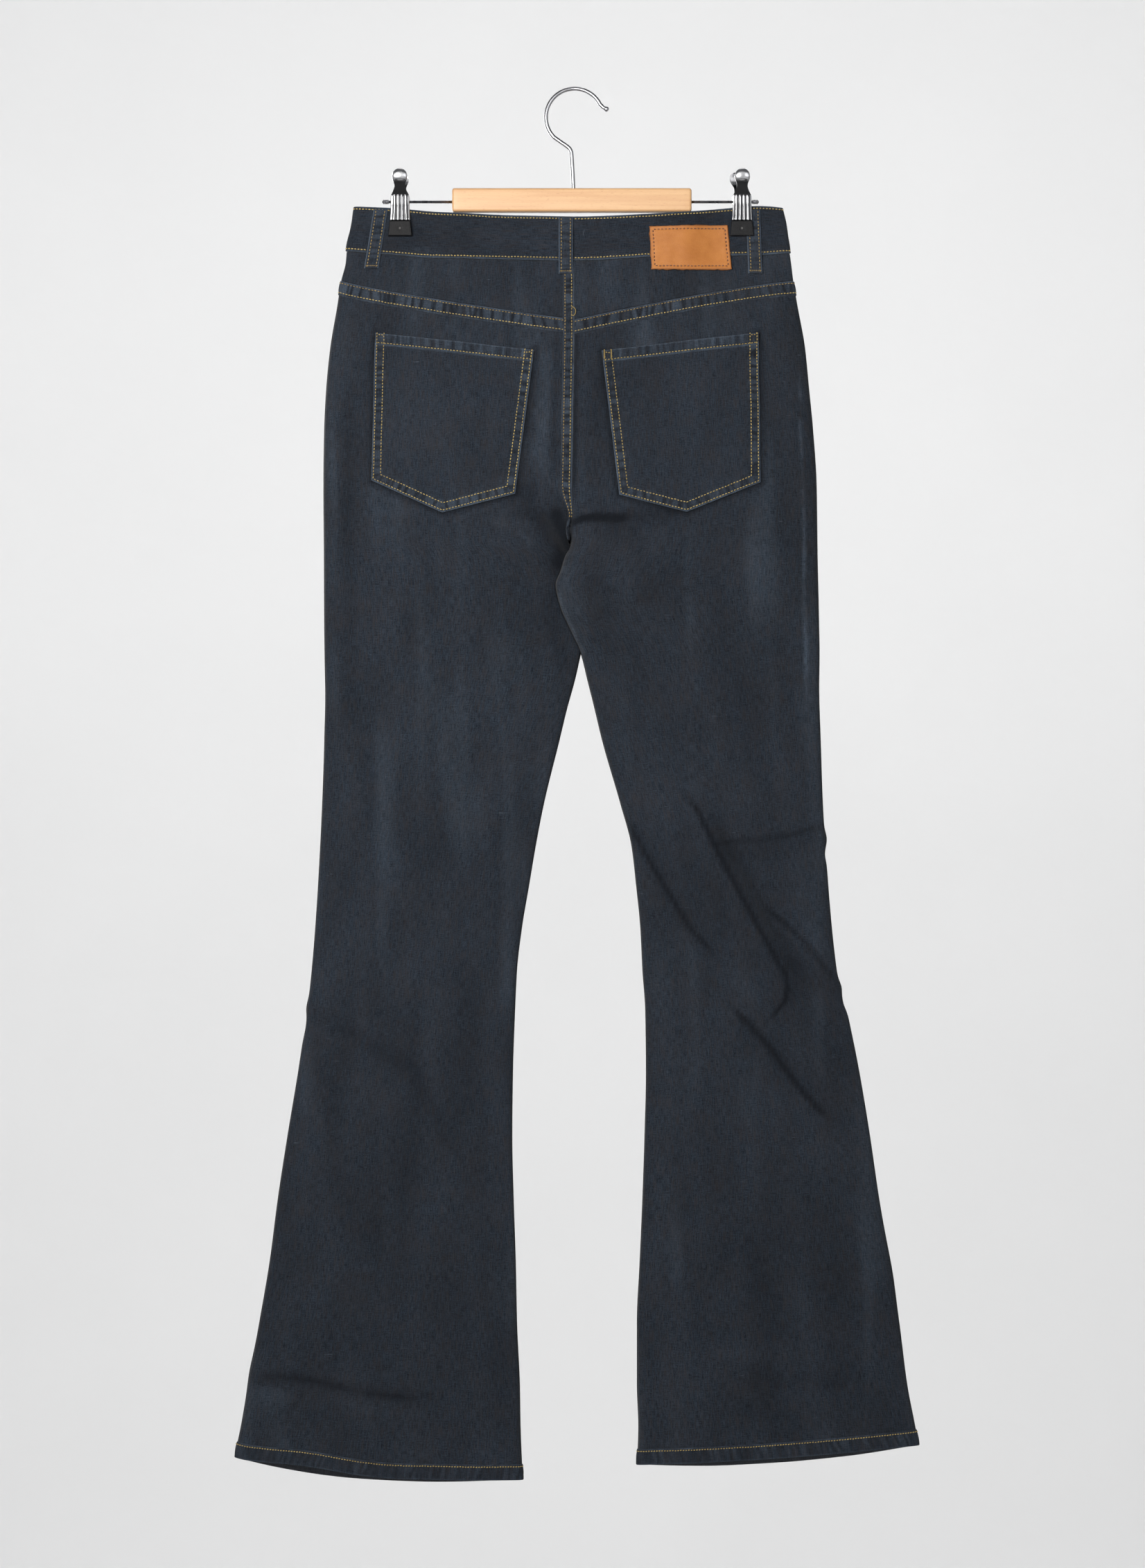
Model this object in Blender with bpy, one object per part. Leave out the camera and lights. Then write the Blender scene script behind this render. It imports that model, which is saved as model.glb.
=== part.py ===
"""Bootcut jeans hung by the waistband from a wood and steel clip hanger, seen from behind.

Sizes are in millimetres and become metres in the meshes. x runs to the right as seen from behind,
y runs from the back of the jeans to their front, and drop is the distance below the origin, the
inner top of the hook. "left" and "right" are as seen from behind, which is also how they are worn.
"""

import math

import bmesh
import bpy
import numpy as np

MM = 0.001

# Cloth
CLOTH = 1.3  # denim with its seam allowances
SEAM_GAP = 0.3
SEAM_LAP = 0.8  # how far a felled seam or a hem stands proud
SEAM_STRIP = 9.4  # centre back seam
YOKE_STRIP = 12.0
HEM_HEIGHT = 11.0
STEP = 0.7  # run of the slope at the edge of a raised strip

# Waistband
BAND_MIDDLE = 120.0
BAND_RAISE = 1.1
BAND_WALL = 1.3
FRONT_DIP = 22.0  # the front waist lies this much lower at the centre
DIP_START = 0.3
FRONT_SEAM = 0.7  # gap under the front waistband, whose edge dips and so is cut into longer facets
BUTTON_END = 16.0  # how far the left front end laps past the centre

# Folded tube
HALF_WIDTH = 200.0  # from a side seam to the centre seam, near enough for narrow strips
LEAST_SHARE = 0.008  # columns closer together than this share of a half are left out
ROUNDING = 0.6  # share of a half's width over which its depth builds up
BLUNTNESS = 0.45
CROTCH = 386.0
CROTCH_BEND = 50.0
PRESSED_FACES = [("left", "back"), ("right", "front")]  # the thighs' faces that lie against each other
PRESSED_SHARE = 0.075  # how much flatter they are for each millimetre that the thighs lie apart

# Back pockets, loops and patch
POCKET_SEAT = 0.6
POCKET_CLOTH = 1.1
POCKET_HEM = 9.0
HEM_RAISE = 0.6  # a pocket's turned top edge stands this much prouder
LOOP_WIDTH = 12.3
LOOP_CLOTH = 1.6
PATCH_SEAT = 1.5
PATCH_LEATHER = 1.3

# Front scoop pockets
SCOOP_ACROSS = 0.42
SCOOP_LAP = 0.6
SCOOP_DEEP = 86.0
SCOOP_ROUND, SCOOP_END = 2.2, 0.85
FACING_INSET = 0.3
FACING_END = 0.985

# Hanger
WIRE_RADIUS = 1.7
HOOK_RADIUS = 24.4
BAR_LEFT, BAR_RIGHT = -104.4, 99.7
BAR_TOP, BAR_BOTTOM = 83.8, 103.8
BAR_THICK = 12.0
BAR_ROUND = 2.0
ROD_RADIUS = 1.2
ROD_DROP = 95.0
ROD_LEFT, ROD_RIGHT = -164.0, 157.0
FIT = 0.3  # running clearance round the rod and the hook's stem
BORE_REACH = 15.0  # how far a bore's cutter runs to each side
STEM_X = -0.8
STEM_END = 90.4
PLATE = 1.1
HEAD_DROP, LEAN_FROM = 75.0, 89.0
SPRING_WIRE = 0.5
SPRING_RADIUS = 2.3
SPRING_TURNS = 4
SPRING_PITCH = 1.6
SPRING_START, SPRING_LAST_TURN = 200.0, 140.0  # degrees
SPRING_TAIL_Y, SPRING_TAIL_DROP = 7.3, 83.5

# Clips: x where each grips, and how far its rear lever's head leans sideways
CLIPS = {"left": (-148.6, 0.0), "right": (142.6, -3.2)}
CLIP_PINCH = 1.6  # half the depth of the cloth where a clip holds it
PINCH_FLAT, PINCH_REACH = 14.0, 52.0
PINCH_FULL, PINCH_FADE = 128.0, 62.0


def smooth(at, known, values):
    """A cubic through the values that never overshoots them, level past both ends."""
    at = np.clip(at, known[0], known[-1])
    spans = np.diff(known)
    slopes = np.diff(values) / spans
    product = slopes[:-1] * slopes[1:]
    total = slopes[:-1] + slopes[1:]
    total = np.where(product > 0, total, 1.0)
    middle = np.where(product > 0, 2 * product / total, 0.0)
    tangents = np.concatenate([slopes[:1], middle, slopes[-1:]])
    index = np.clip(np.searchsorted(known, at, side="right") - 1, 0, len(spans) - 1)
    t = (at - known[index]) / spans[index]
    rise = values[index + 1] - values[index]
    return (
        values[index]
        + t * spans[index] * tangents[index] * (1 - t) ** 2
        + rise * t * t * (3 - 2 * t)
        - t * t * (1 - t) * spans[index] * tangents[index + 1]
    )


class Table:
    """Rows of sizes with named columns, read smoothly along the first one."""

    def __init__(self, columns, rows):
        self.columns = columns.split()
        self.rows = np.array(rows, float)

    def __call__(self, column, at):
        values = self.rows[:, self.columns.index(column)]
        return smooth(np.asarray(at, float), self.rows[:, 0], values)


# The outer edges of the hanging jeans and half their depth, from waist to hem
OUTLINE = Table(
    "drop left right back front",
    [
        (99, -187.4, 176.4, 8.0, 7.0),
        (113, -189.5, 179.4, 8.5, 7.5),
        (136, -194.2, 183.0, 9.5, 8.0),
        (147, -195.2, 184.6, 10.5, 8.5),
        (163, -199.2, 186.6, 12.0, 10.0),
        (184, -202.4, 190.2, 15.0, 12.0),
        (219, -208.3, 196.5, 19.0, 13.5),
        (254, -211.8, 200.0, 22.0, 14.5),
        (290, -213.6, 203.5, 24.0, 15.0),
        (337, -214.2, 206.5, 24.0, 15.5),
        (396, -213.8, 207.3, 22.0, 15.5),
        (449, -213.6, 208.3, 19.0, 15.0),
        (502, -213.2, 208.4, 17.0, 14.5),
        (555, -213.6, 210.0, 15.5, 14.0),
        (608, -215.3, 211.8, 14.0, 13.5),
        (679, -218.9, 216.5, 12.5, 12.5),
        (714, -221.2, 219.5, 12.0, 12.0),
        (750, -224.2, 223.6, 12.0, 12.0),
        (768, -226.0, 226.6, 12.0, 12.0),
        (785, -227.6, 232.2, 12.0, 12.0),
        (803, -230.7, 236.2, 12.5, 12.5),
        (838, -236.0, 243.1, 13.0, 13.0),
        (891, -244.8, 251.9, 13.5, 14.0),
        (945, -253.1, 259.8, 14.0, 14.5),
        (998, -260.0, 269.0, 14.5, 15.0),
        (1051, -269.0, 277.0, 15.0, 16.0),
        (1104, -278.5, 283.8, 16.0, 17.0),
        (1139, -284.6, 290.5, 16.5, 18.0),
        (1157, -288.2, 293.8, 17.0, 18.5),
        (1184, -291.5, 296.5, 17.0, 18.5),
    ],
)

CENTRE_SEAM = Table(
    "drop x",
    [(90, -0.6), (200, -0.6), (287, -1.8), (350, -2.9), (CROTCH, -3.8)],
)

# The inseam folds, and how far the right thigh lies behind the left one, as seen from the front
INSEAM = Table(
    "drop left right apart",
    [
        (386, -3.95, -3.65, 0.1),
        (387.5, -3.9, -3.7, 1.3),
        (391, -0.5, -7.6, 4.8),
        (396, 5.0, -12.4, 6.2),
        (410, 10.0, -16.0, 7.2),
        (422, 12.4, -17.1, 7.4),
        (440, 12.4, -13.0, 7.2),
        (460, 9.8, -4.3, 6.4),
        (481, 5.3, 5.3, 5.0),
        (502, 0.6, 10.6, 3.5),
        (528, -6.5, 17.1, 1.5),
        (555, -13.0, 23.6, 0.3),
        (608, -26.0, 38.9, 0.0),
        (644, -33.0, 48.4, 0.0),
        (679, -38.9, 52.5, 0.0),
        (714, -44.8, 56.0, 0.0),
        (750, -49.0, 57.8, 0.0),
        (785, -50.7, 60.2, 0.0),
        (838, -52.5, 60.8, 0.0),
        (891, -53.1, 59.6, 0.0),
        (945, -51.9, 57.8, 0.0),
        (998, -50.1, 55.5, 0.0),
        (1051, -49.0, 53.1, 0.0),
        (1104, -46.6, 53.1, 0.0),
        (1139, -46.0, 54.3, 0.0),
        (1184, -44.2, 52.5, 0.0),
    ],
)

# The waistband's edges as seen from behind, from its left fold to its right one
WAISTBAND = Table(
    "x top bottom",
    [
        (-196, 98.9, 136.9),
        (-159, 100.3, 139.8),
        (-103, 105.2, 144.3),
        (-1, 108.6, 146.3),
        (62, 106.3, 143.4),
        (101, 103.8, 142.2),
        (130, 100.9, 141.2),
        (160, 98.6, 140.4),
        (185, 100.3, 138.7),
    ],
)

# Back yoke seam and hems: their drop at the side seam and at the inner edge, and how they bend
YOKE_SEAM = {"left": (162.2, 197.2, 0.8), "right": (162.8, 197.4, 1.2)}
HEM = {"left": (1164.7, 1182.4, 3.0), "right": (1154.6, 1170.8, 1.9)}
FRONT_HEM_DROP = 2.6

# The largest folds: side, face, width and height of the ridge (a trough is below 0), and its line
FOLDS = [
    ("right", "back", 13, 6.4, [(93, 602), (106, 622), (124, 654), (142, 687), (164, 728), (180, 758)]),
    ("right", "back", 12, -4.0, [(110, 600), (128, 632), (148, 668), (168, 706), (186, 742)]),
    ("right", "back", 14, 4.4, [(50, 632), (60, 650), (77, 684), (100, 718), (124, 744)]),
    ("right", "back", 12, -3.2, [(40, 648), (56, 680), (78, 716), (106, 752)]),
    ("right", "back", 16, 3.0, [(118, 762), (140, 790), (168, 822), (200, 860), (222, 886)]),
    ("right", "back", 12, -2.6, [(132, 806), (156, 834), (184, 866)]),
    ("right", "back", 10, 2.4, [(210, 764), (198, 742), (184, 722)]),
    ("right", "back", 11, 2.4, [(204, 630), (170, 640), (134, 651)]),
    ("left", "back", 18, 2.4, [(-215, 790), (-185, 812), (-136, 835), (-108, 880)]),
    ("left", "back", 16, 2.2, [(-258, 1098), (-214, 1106), (-168, 1114)]),
    ("right", "back", 15, -3.0, [(8, 362), (32, 361), (62, 370), (96, 386)]),
    ("left", "back", 15, -2.6, [(-12, 362), (-40, 366), (-74, 378)]),
    ("right", "front", 14, 3.4, [(70, 610), (110, 650), (150, 700), (176, 742)]),
    ("right", "front", 14, 2.8, [(96, 730), (140, 776), (190, 830)]),
    ("left", "front", 15, 2.8, [(-180, 640), (-130, 672), (-84, 700)]),
    ("left", "front", 16, 2.4, [(-210, 780), (-150, 812), (-100, 868)]),
    ("left", "front", 12, 2.2, [(-20, 372), (-70, 356), (-124, 352)]),
    ("right", "front", 12, 2.2, [(16, 372), (64, 356), (118, 352)]),
]

# Back pockets as seen: corner, x and drop
POCKETS = {
    "left": {
        "top_left": (-169.3, 208.3),
        "top_right": (-34.2, 223.6),
        "low_right": (-50.1, 345.7),
        "tip": (-112.1, 361.7),
        "low_left": (-172.3, 333.9),
    },
    "right": {
        "top_left": (23.0, 224.2),
        "top_right": (156.3, 208.3),
        "low_right": (157.5, 335.7),
        "tip": (95.0, 361.1),
        "low_left": (37.8, 346.3),
    },
}

# Belt loops: face, x and drop of the top end, x and drop of the lower end, lift over the cloth there
LOOPS = {
    "loop_back_centre": ("back", -7.4, 109.4, -7.4, 158.1, 1.3),
    "loop_back_left": ("back", -165.2, 102.0, -173.2, 152.6, 0.5),
    "loop_back_right": ("back", 152.2, 102.0, 154.0, 156.9, 0.5),
    "loop_front_left": ("front", -92.0, 109.4, -93.0, 159.6, 0.5),
    "loop_front_right": ("front", 88.0, 108.2, 89.0, 158.4, 0.5),
}
# How a loop stands off the waistband: share of its length, and share of its full lift there
LOOP_PROFILE = [(0.0, 0.0), (0.1, 0.0), (0.24, 0.8), (0.4, 1.0), (0.56, 1.0), (0.7, 0.7), (0.8, 0.2)]
LOOP_SEAT = BAND_RAISE + 0.35
LOOP_LIFT = 1.9

PATCH = {
    "top_left": (63.4, 117.4),
    "top_right": (130.6, 115.0),
    "low_right": (134.0, 154.0),
    "low_left": (65.2, 154.6),
}

BUTTON_X = -1.0
BUTTON_SEAT = 0.7
# Radius and height
BUTTON_PROFILE = [
    (0.0, 0.0),
    (7.4, 0.0),
    (8.5, 0.9),
    (8.5, 1.9),
    (7.2, 2.9),
    (6.2, 2.5),
    (3.4, 3.3),
    (0.0, 3.6),
]

# A clip's stamped lever: drop, outer face's distance from the middle, half width, depth of its rims
FRONT_LEVER = [
    (68.4, 12.4, 2.2, 1.6),
    (69.6, 12.8, 4.2, 1.9),
    (71.8, 13.2, 5.8, 2.2),
    (74.9, 13.2, 6.5, 2.3),
    (78.3, 12.4, 5.7, 2.0),
    (81.2, 11.2, 4.7, 1.6),
    (84.2, 9.8, 4.9, 1.5),
    (87.2, 8.5, 6.0, 1.6),
    (89.6, 7.4, 7.4, 2.6),
    (91.4, 6.9, 7.9, 9.9),
    (97.1, 6.5, 8.0, 9.5),
    (97.9, 6.5, 8.0, 1.3),
    (111.5, 7.0, 8.7, 1.4),
]
REAR_LEVER = [
    (68.4, 12.4, 2.2, 1.6),
    (69.6, 12.8, 4.2, 1.9),
    (71.8, 13.2, 5.8, 2.2),
    (74.9, 13.2, 6.5, 2.3),
    (78.3, 12.4, 5.7, 2.0),
    (81.2, 11.2, 4.7, 1.6),
    (84.2, 9.8, 4.9, 1.5),
    (87.2, 8.5, 5.4, 1.6),
    (89.6, 7.4, 6.2, 2.6),
    (91.4, 6.9, 6.4, 9.9),
    (97.1, 6.5, 6.4, 9.5),
    (97.9, 6.5, 6.6, 1.3),
    (101.5, 6.6, 8.0, 1.3),
    (111.5, 7.0, 8.7, 1.4),
]
PAD_TOP, PAD_BOTTOM = 111.9, 124.6
PAD_HALF_TOP, PAD_HALF_BOTTOM = 8.9, 10.2
PAD_INNER, PAD_OUTER = 3.05, 7.6
PAD_OVER_LOOP = 6.1  # the right clip's pad also grips half of a belt loop
PAD_ROUND = 0.7

HOOK_ARC_START, HOOK_ARC_END = 27.0, 224.0  # degrees, from the tip over the top and down the far side
# x, drop and relative thickness of the tip's ball and of the wire behind it
HOOK_TIP = [
    (28.9, 16.6, 0.45),
    (28.2, 16.25, 1.12),
    (27.2, 15.8, 1.3),
    (26.0, 15.2, 1.12),
    (24.4, 14.2, 0.88),
]
# x and drop
HOOK_NECK = [(-11.6, 43.9), (-7.2, 46.9), (-4.3, 49.4), (-2.9, 52.4), (-2.4, 57.0), (-1.5, 72.0)]


# ---------------------------------------------------------------- the cloth's form

def ease(t):
    t = np.clip(t, 0.0, 1.0)
    return t * t * (3 - 2 * t)


def inner_edge(side, drop):
    """x of a half's inner edge: the centre seam above the crotch, its inseam fold below."""
    gap = -SEAM_GAP / 2 if side == "left" else SEAM_GAP / 2
    return np.where(drop < CROTCH, CENTRE_SEAM("x", drop) + gap, INSEAM(side, drop))


def build_up(share):
    return np.sin(np.clip(share / ROUNDING, 0, 1) * math.pi / 2) ** BLUNTNESS


def pinch(x, drop):
    """1 where a clip presses the two waistbands together, 0 away from it."""
    hold = np.zeros(np.shape(x))
    for clip_x, _ in CLIPS.values():
        reach = (np.abs(x - clip_x) - PINCH_FLAT) / (PINCH_REACH - PINCH_FLAT)
        hold = np.maximum(hold, 1 - ease(reach))
    return hold * (1 - ease((drop - PINCH_FULL) / PINCH_FADE))


def along(line, x, drop):
    """Distance from each point to a fold's line, and the share of the line passed at the nearest point."""
    line = np.array(line, float)
    lengths = np.hypot(*np.diff(line, axis=0).T)
    passed = np.concatenate([[0], np.cumsum(lengths)])
    nearest = np.full(np.shape(x), np.inf)
    share = np.zeros(np.shape(x))
    for i, length in enumerate(lengths):
        run = (line[i + 1] - line[i]) / length
        t = np.clip((x - line[i][0]) * run[0] + (drop - line[i][1]) * run[1], 0, length)
        away = np.hypot(x - line[i][0] - t * run[0], drop - line[i][1] - t * run[1])
        closer = away < nearest
        nearest = np.where(closer, away, nearest)
        share = np.where(closer, (passed[i] + t) / passed[-1], share)
    return nearest, share


def fold_height(side, face, x, drop):
    height = np.zeros(np.shape(x))
    for fold_side, fold_face, width, peak, line in FOLDS:
        if (fold_side, fold_face) != (side, face):
            continue
        away, share = along(line, x, drop)
        ends = ease(share / 0.3) * ease((1 - share) / 0.3)
        height += peak * ends * np.exp(-((away / width) ** 2))
    return height


def cloth(side, face, across, drop):
    """Points of the cloth's outer face. across runs from 0 at the side seam to 1 at the inner edge."""
    across = np.asarray(across, float)
    drop = np.asarray(drop, float)
    outer = OUTLINE(side, drop)
    x = outer + (inner_edge(side, drop) - outer) * across
    above_crotch = np.clip((CROTCH - drop) / CROTCH_BEND, 0, 1)
    joined = np.sqrt(1 - (1 - above_crotch) ** 2)
    fullness = build_up(across) * (joined + (1 - joined) * build_up(1 - across))
    depth = OUTLINE(face, drop) * fullness
    apart = np.where(drop < CROTCH, 0.0, INSEAM("apart", drop)) * ease((across - 0.4) / 0.6)
    if (side, face) in PRESSED_FACES:
        depth = depth * (1 - PRESSED_SHARE * apart)
    hold = pinch(x, drop)
    depth = depth * (1 - hold) + CLIP_PINCH * hold * np.minimum(1, fullness * 3)
    depth = depth + fold_height(side, face, x, drop) * np.clip(fullness * 1.6 - 0.5, 0, 1)
    middle = apart if side == "left" else -apart
    away = -1 if face == "back" else 1
    return np.stack([x, middle + away * (depth + SEAM_GAP / 2), -drop], axis=-1)


def outward(side, face, across, drop):
    """Unit normals of the cloth, pointing out of the garment."""
    turn = np.arccos(1 - 2 * np.clip(across, 0, 1)) / math.pi
    before = (1 - np.cos(math.pi * np.clip(turn - 0.01, 0, 1))) / 2
    after = (1 - np.cos(math.pi * np.clip(turn + 0.01, 0, 1))) / 2
    over = cloth(side, face, after, drop) - cloth(side, face, before, drop)
    down = cloth(side, face, across, drop + 0.6) - cloth(side, face, across, drop - 0.6)
    normal = np.cross(over, down)
    if (side == "left") == (face == "back"):
        normal = -normal
    # An edge that meets another piece keeps its wall in the plane of the seam.
    at_tip = (across <= 0) | ((across >= 1) & (drop >= CROTCH))
    at_centre = (across >= 1) & (drop <= CROTCH)
    normal[..., 1] = np.where(at_tip, 0, normal[..., 1])
    normal[..., 0] = np.where(at_centre, 0, normal[..., 0])
    length = np.linalg.norm(normal, axis=-1, keepdims=True)
    straight_down = np.array([0.0, 0.0, -1.0])
    return np.where(length > 1e-9, normal / np.maximum(length, 1e-9), straight_down)


def across_of(side, x, drop):
    outer = OUTLINE(side, drop)
    return np.clip((x - outer) / (inner_edge(side, drop) - outer), 0, 1)


def side_of(x):
    return "left" if x < CENTRE_SEAM.rows[0][1] else "right"


# ---------------------------------------------------------------- objects

def finish(name, colour, roughness, metallic=0.0):
    material = bpy.data.materials.get(name) or bpy.data.materials.new(name)
    material.use_nodes = True
    shader = material.node_tree.nodes["Principled BSDF"]
    shader.inputs["Base Color"].default_value = (*colour, 1)
    shader.inputs["Roughness"].default_value = roughness
    shader.inputs["Metallic"].default_value = metallic
    return material


def denim():
    return finish("denim", (0.030, 0.038, 0.052), 0.85)


def leather():
    return finish("leather", (0.57, 0.22, 0.065), 0.6)


def steel():
    return finish("chromed_steel", (0.80, 0.80, 0.82), 0.12, 1.0)


def rubber():
    return finish("black_rubber", (0.02, 0.02, 0.022), 0.5)


def beech():
    return finish("beech", (0.80, 0.53, 0.28), 0.5)


def brass():
    return finish("aged_brass", (0.45, 0.33, 0.18), 0.35, 1.0)


def place(name, mesh, material):
    bpy_object = bpy.data.objects.new(name, mesh)
    bpy.context.scene.collection.objects.link(bpy_object)
    mesh.materials.append(material)
    return bpy_object


def mesh_object(name, points, faces, material, smooth_faces=True):
    """One closed mesh, its faces turned outwards."""
    mesh = bpy.data.meshes.new(name)
    mesh.from_pydata([tuple(p) for p in np.asarray(points) * MM], [], faces)
    shape = bmesh.new()
    shape.from_mesh(mesh)
    bmesh.ops.recalc_face_normals(shape, faces=shape.faces)
    shape.to_mesh(mesh)
    shape.free()
    if smooth_faces:
        mesh.shade_smooth()
        mesh.set_sharp_from_angle(angle=math.radians(50))
    return place(name, mesh, material)


def slab(name, outer, inner, material):
    """A closed wall between two grids of points."""
    rows, columns = outer.shape[:2]
    count = rows * columns
    points = np.concatenate([outer.reshape(-1, 3), inner.reshape(-1, 3)])
    number = np.arange(count).reshape(rows, columns)
    faces = []
    for r in range(rows - 1):
        for c in range(columns - 1):
            quad = [number[r, c], number[r, c + 1], number[r + 1, c + 1], number[r + 1, c]]
            faces.append([int(i) for i in quad])
            faces.append([int(i) + count for i in reversed(quad)])
    rim = list(number[0]) + list(number[1:, -1]) + list(number[-1, -2::-1]) + list(number[-2:0:-1, 0])
    for i, here in enumerate(rim):
        following = rim[(i + 1) % len(rim)]
        faces.append([int(here), int(here) + count, int(following) + count, int(following)])
    return mesh_object(name, points, faces, material)


def walled(side, face, across, drop, raised, wall=CLOTH):
    """The outer and inner face of a piece of cloth, its outer face raised by a seam's lap."""
    base = cloth(side, face, across, drop)
    normal = outward(side, face, across, drop)
    raised = np.broadcast_to(raised, across.shape)[..., None]
    return base + normal * raised, base - normal * wall


# ---------------------------------------------------------------- grids

def columns_between(count):
    """Shares across a half, closer together near both edges."""
    return (1 - np.cos(np.linspace(0, math.pi, count + 1))) / 2


BAND_SHARES = [0, 0.025, 0.07, 0.122, 0.2, 0.275, 0.318, 0.37, 0.44, 0.53, 0.65, 0.8, 1]


def band_x(side, across):
    return OUTLINE(side, BAND_MIDDLE) * (1 - across) + CENTRE_SEAM("x", BAND_MIDDLE) * across


def band_edge(column, side, face, across):
    edge = WAISTBAND(column, band_x(side, across))
    if face == "front":
        edge = edge + FRONT_DIP * ease((across - DIP_START) / (1 - DIP_START))
    return edge


def seam_drop(rule, across):
    at_side, at_inner, bend = rule
    return at_side + (at_inner - at_side) * across**bend


def hem_drop(rule, across):
    at_side, at_inner, bend = rule
    return at_inner + (at_side - at_inner) * (1 - across) ** bend


def lapped_columns(side, count):
    """Columns of a back piece. On the left they mark the felled centre seam's strip."""
    shares = columns_between(count)
    if side == "right":
        return shares, np.zeros(len(shares))
    strip = [1 - (SEAM_STRIP + STEP) / HALF_WIDTH, 1 - SEAM_STRIP / HALF_WIDTH]
    kept = [u for u in shares if u < strip[0] - LEAST_SHARE] + strip + [shares[-2], 1.0]
    lap = np.array([SEAM_LAP if u >= strip[1] - 1e-6 else 0.0 for u in kept])
    return np.array(kept), lap


# Drops of a leg's rows at its inner edge, closer at the crotch and at the knee's folds
CROTCH_ROWS = [315, 336, 354, 368, 378, 383.5, 386, 387.5, 391, 396, 408, 422, 445, 475, 505]
BACK_ROWS = [235, 262, 290] + CROTCH_ROWS + [535, 565, 592, 616, 638, 660, 681, 702, 723, 744, 765, 787]
BACK_ROWS += [810, 834, 862, 896, 935, 978, 1022, 1066, 1104, 1136]
FRONT_ROWS = [246, 280] + CROTCH_ROWS + [540, 575, 608, 640, 670, 700, 730, 760, 790, 822, 860, 905]
FRONT_ROWS += [955, 1005, 1055, 1100, 1136]
SCOOP_ROWS = [0.0, 0.18, 0.36, 0.54, 0.7, 0.82, 0.91, 0.97, 1.0]


def leg_rows(inner_drops, top, bottom):
    """Rows that follow the top edge first and the hem last, and pass each drop at the inner edge."""
    rows = []
    for inner_drop in inner_drops:
        share = (inner_drop - top[-1]) / (bottom[-1] - top[-1])
        rows.append(top + (bottom - top) * share)
    hem = [bottom - HEM_HEIGHT - STEP, bottom - HEM_HEIGHT, bottom]
    return rows + hem


def back_panel(side):
    shares, lap = lapped_columns(side, 12 if side == "left" else 17)
    top = seam_drop(YOKE_SEAM[side], shares)
    bottom = hem_drop(HEM[side], shares)
    rows = [top, top + YOKE_STRIP, top + YOKE_STRIP + STEP] + leg_rows(BACK_ROWS, top, bottom)
    drop = np.array(rows)
    across = np.broadcast_to(shares, drop.shape)
    raised = np.where(drop < CROTCH - 1, lap, 0.0)
    raised[:2] = SEAM_LAP
    raised[-2:] = SEAM_LAP
    outer, inner = walled(side, "back", across, drop, raised)
    slab(f"back_panel_{side}", outer, inner, denim())


def yoke(side):
    shares, lap = lapped_columns(side, 12)
    top = band_edge("bottom", side, "back", shares) + SEAM_GAP
    bottom = seam_drop(YOKE_SEAM[side], shares) - SEAM_GAP
    drop = np.array([top + (bottom - top) * t for t in np.linspace(0, 1, 4)])
    across = np.broadcast_to(shares, drop.shape)
    outer, inner = walled(side, "back", across, drop, lap)
    slab(f"yoke_{side}", outer, inner, denim())


def scoop_edge(share_down):
    return SCOOP_ACROSS * (1 - np.clip(share_down, 0, 1) ** SCOOP_ROUND) ** SCOOP_END


def front_panel(side):
    shares = columns_between(10)
    top = band_edge("bottom", side, "front", shares) + FRONT_SEAM
    bottom = hem_drop(HEM[side], shares) + FRONT_HEM_DROP * np.sin(math.pi * shares)
    rows = []
    edges = []
    for down in SCOOP_ROWS:
        edge = scoop_edge(down)
        across = edge + (1 - edge) * shares
        rows.append(band_edge("bottom", side, "front", across) + FRONT_SEAM + SCOOP_DEEP * down)
        edges.append(across)
    for row in leg_rows(FRONT_ROWS, top, bottom):
        rows.append(row)
        edges.append(shares)
    drop = np.array(rows)
    across = np.array(edges)
    raised = np.zeros(drop.shape)
    raised[-2:] = SEAM_LAP
    raised[: len(SCOOP_ROWS) - 1, :2] = SCOOP_LAP
    if side == "left":
        raised[: len(SCOOP_ROWS) + 1, -3:] = SEAM_LAP  # the fly's edge laps over the right front
    outer, inner = walled(side, "front", across, drop, raised)
    slab(f"front_panel_{side}", outer, inner, denim())


def pocket_facing(side):
    """The cloth that shows inside the front pocket's scoop."""
    seam = SEAM_GAP / HALF_WIDTH
    rows = []
    edges = []
    for down in SCOOP_ROWS[:-1] + [FACING_END]:
        reach = np.interp(down, SCOOP_ROWS[-2:], [scoop_edge(SCOOP_ROWS[-2]), 0.0])
        across = columns_between(5) * (reach if down > SCOOP_ROWS[-2] else scoop_edge(down)) * (1 - seam)
        rows.append(band_edge("bottom", side, "front", across) + FRONT_SEAM + SCOOP_DEEP * down)
        edges.append(np.maximum(across - seam, 0.0))
    drop = np.array(rows)
    across = np.array(edges)
    outer, inner = walled(side, "front", across, drop, -FACING_INSET)
    slab(f"pocket_facing_{side}", outer, inner, denim())


def band_half(side, face, shares):
    top = band_edge("top", side, face, shares)
    bottom = band_edge("bottom", side, face, shares)
    drop = np.array([top + (bottom - top) * t for t in np.linspace(0, 1, 4)])
    across = np.broadcast_to(shares, drop.shape)
    return walled(side, face, across, drop, BAND_RAISE, BAND_WALL)


def waistband_back():
    left = band_half("left", "back", np.array(BAND_SHARES))
    right = band_half("right", "back", np.array(BAND_SHARES)[::-1])
    outer, inner = [np.concatenate([first, then[:, 1:]], axis=1) for first, then in zip(left, right)]
    slab("waistband_back", outer, inner, denim())


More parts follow.
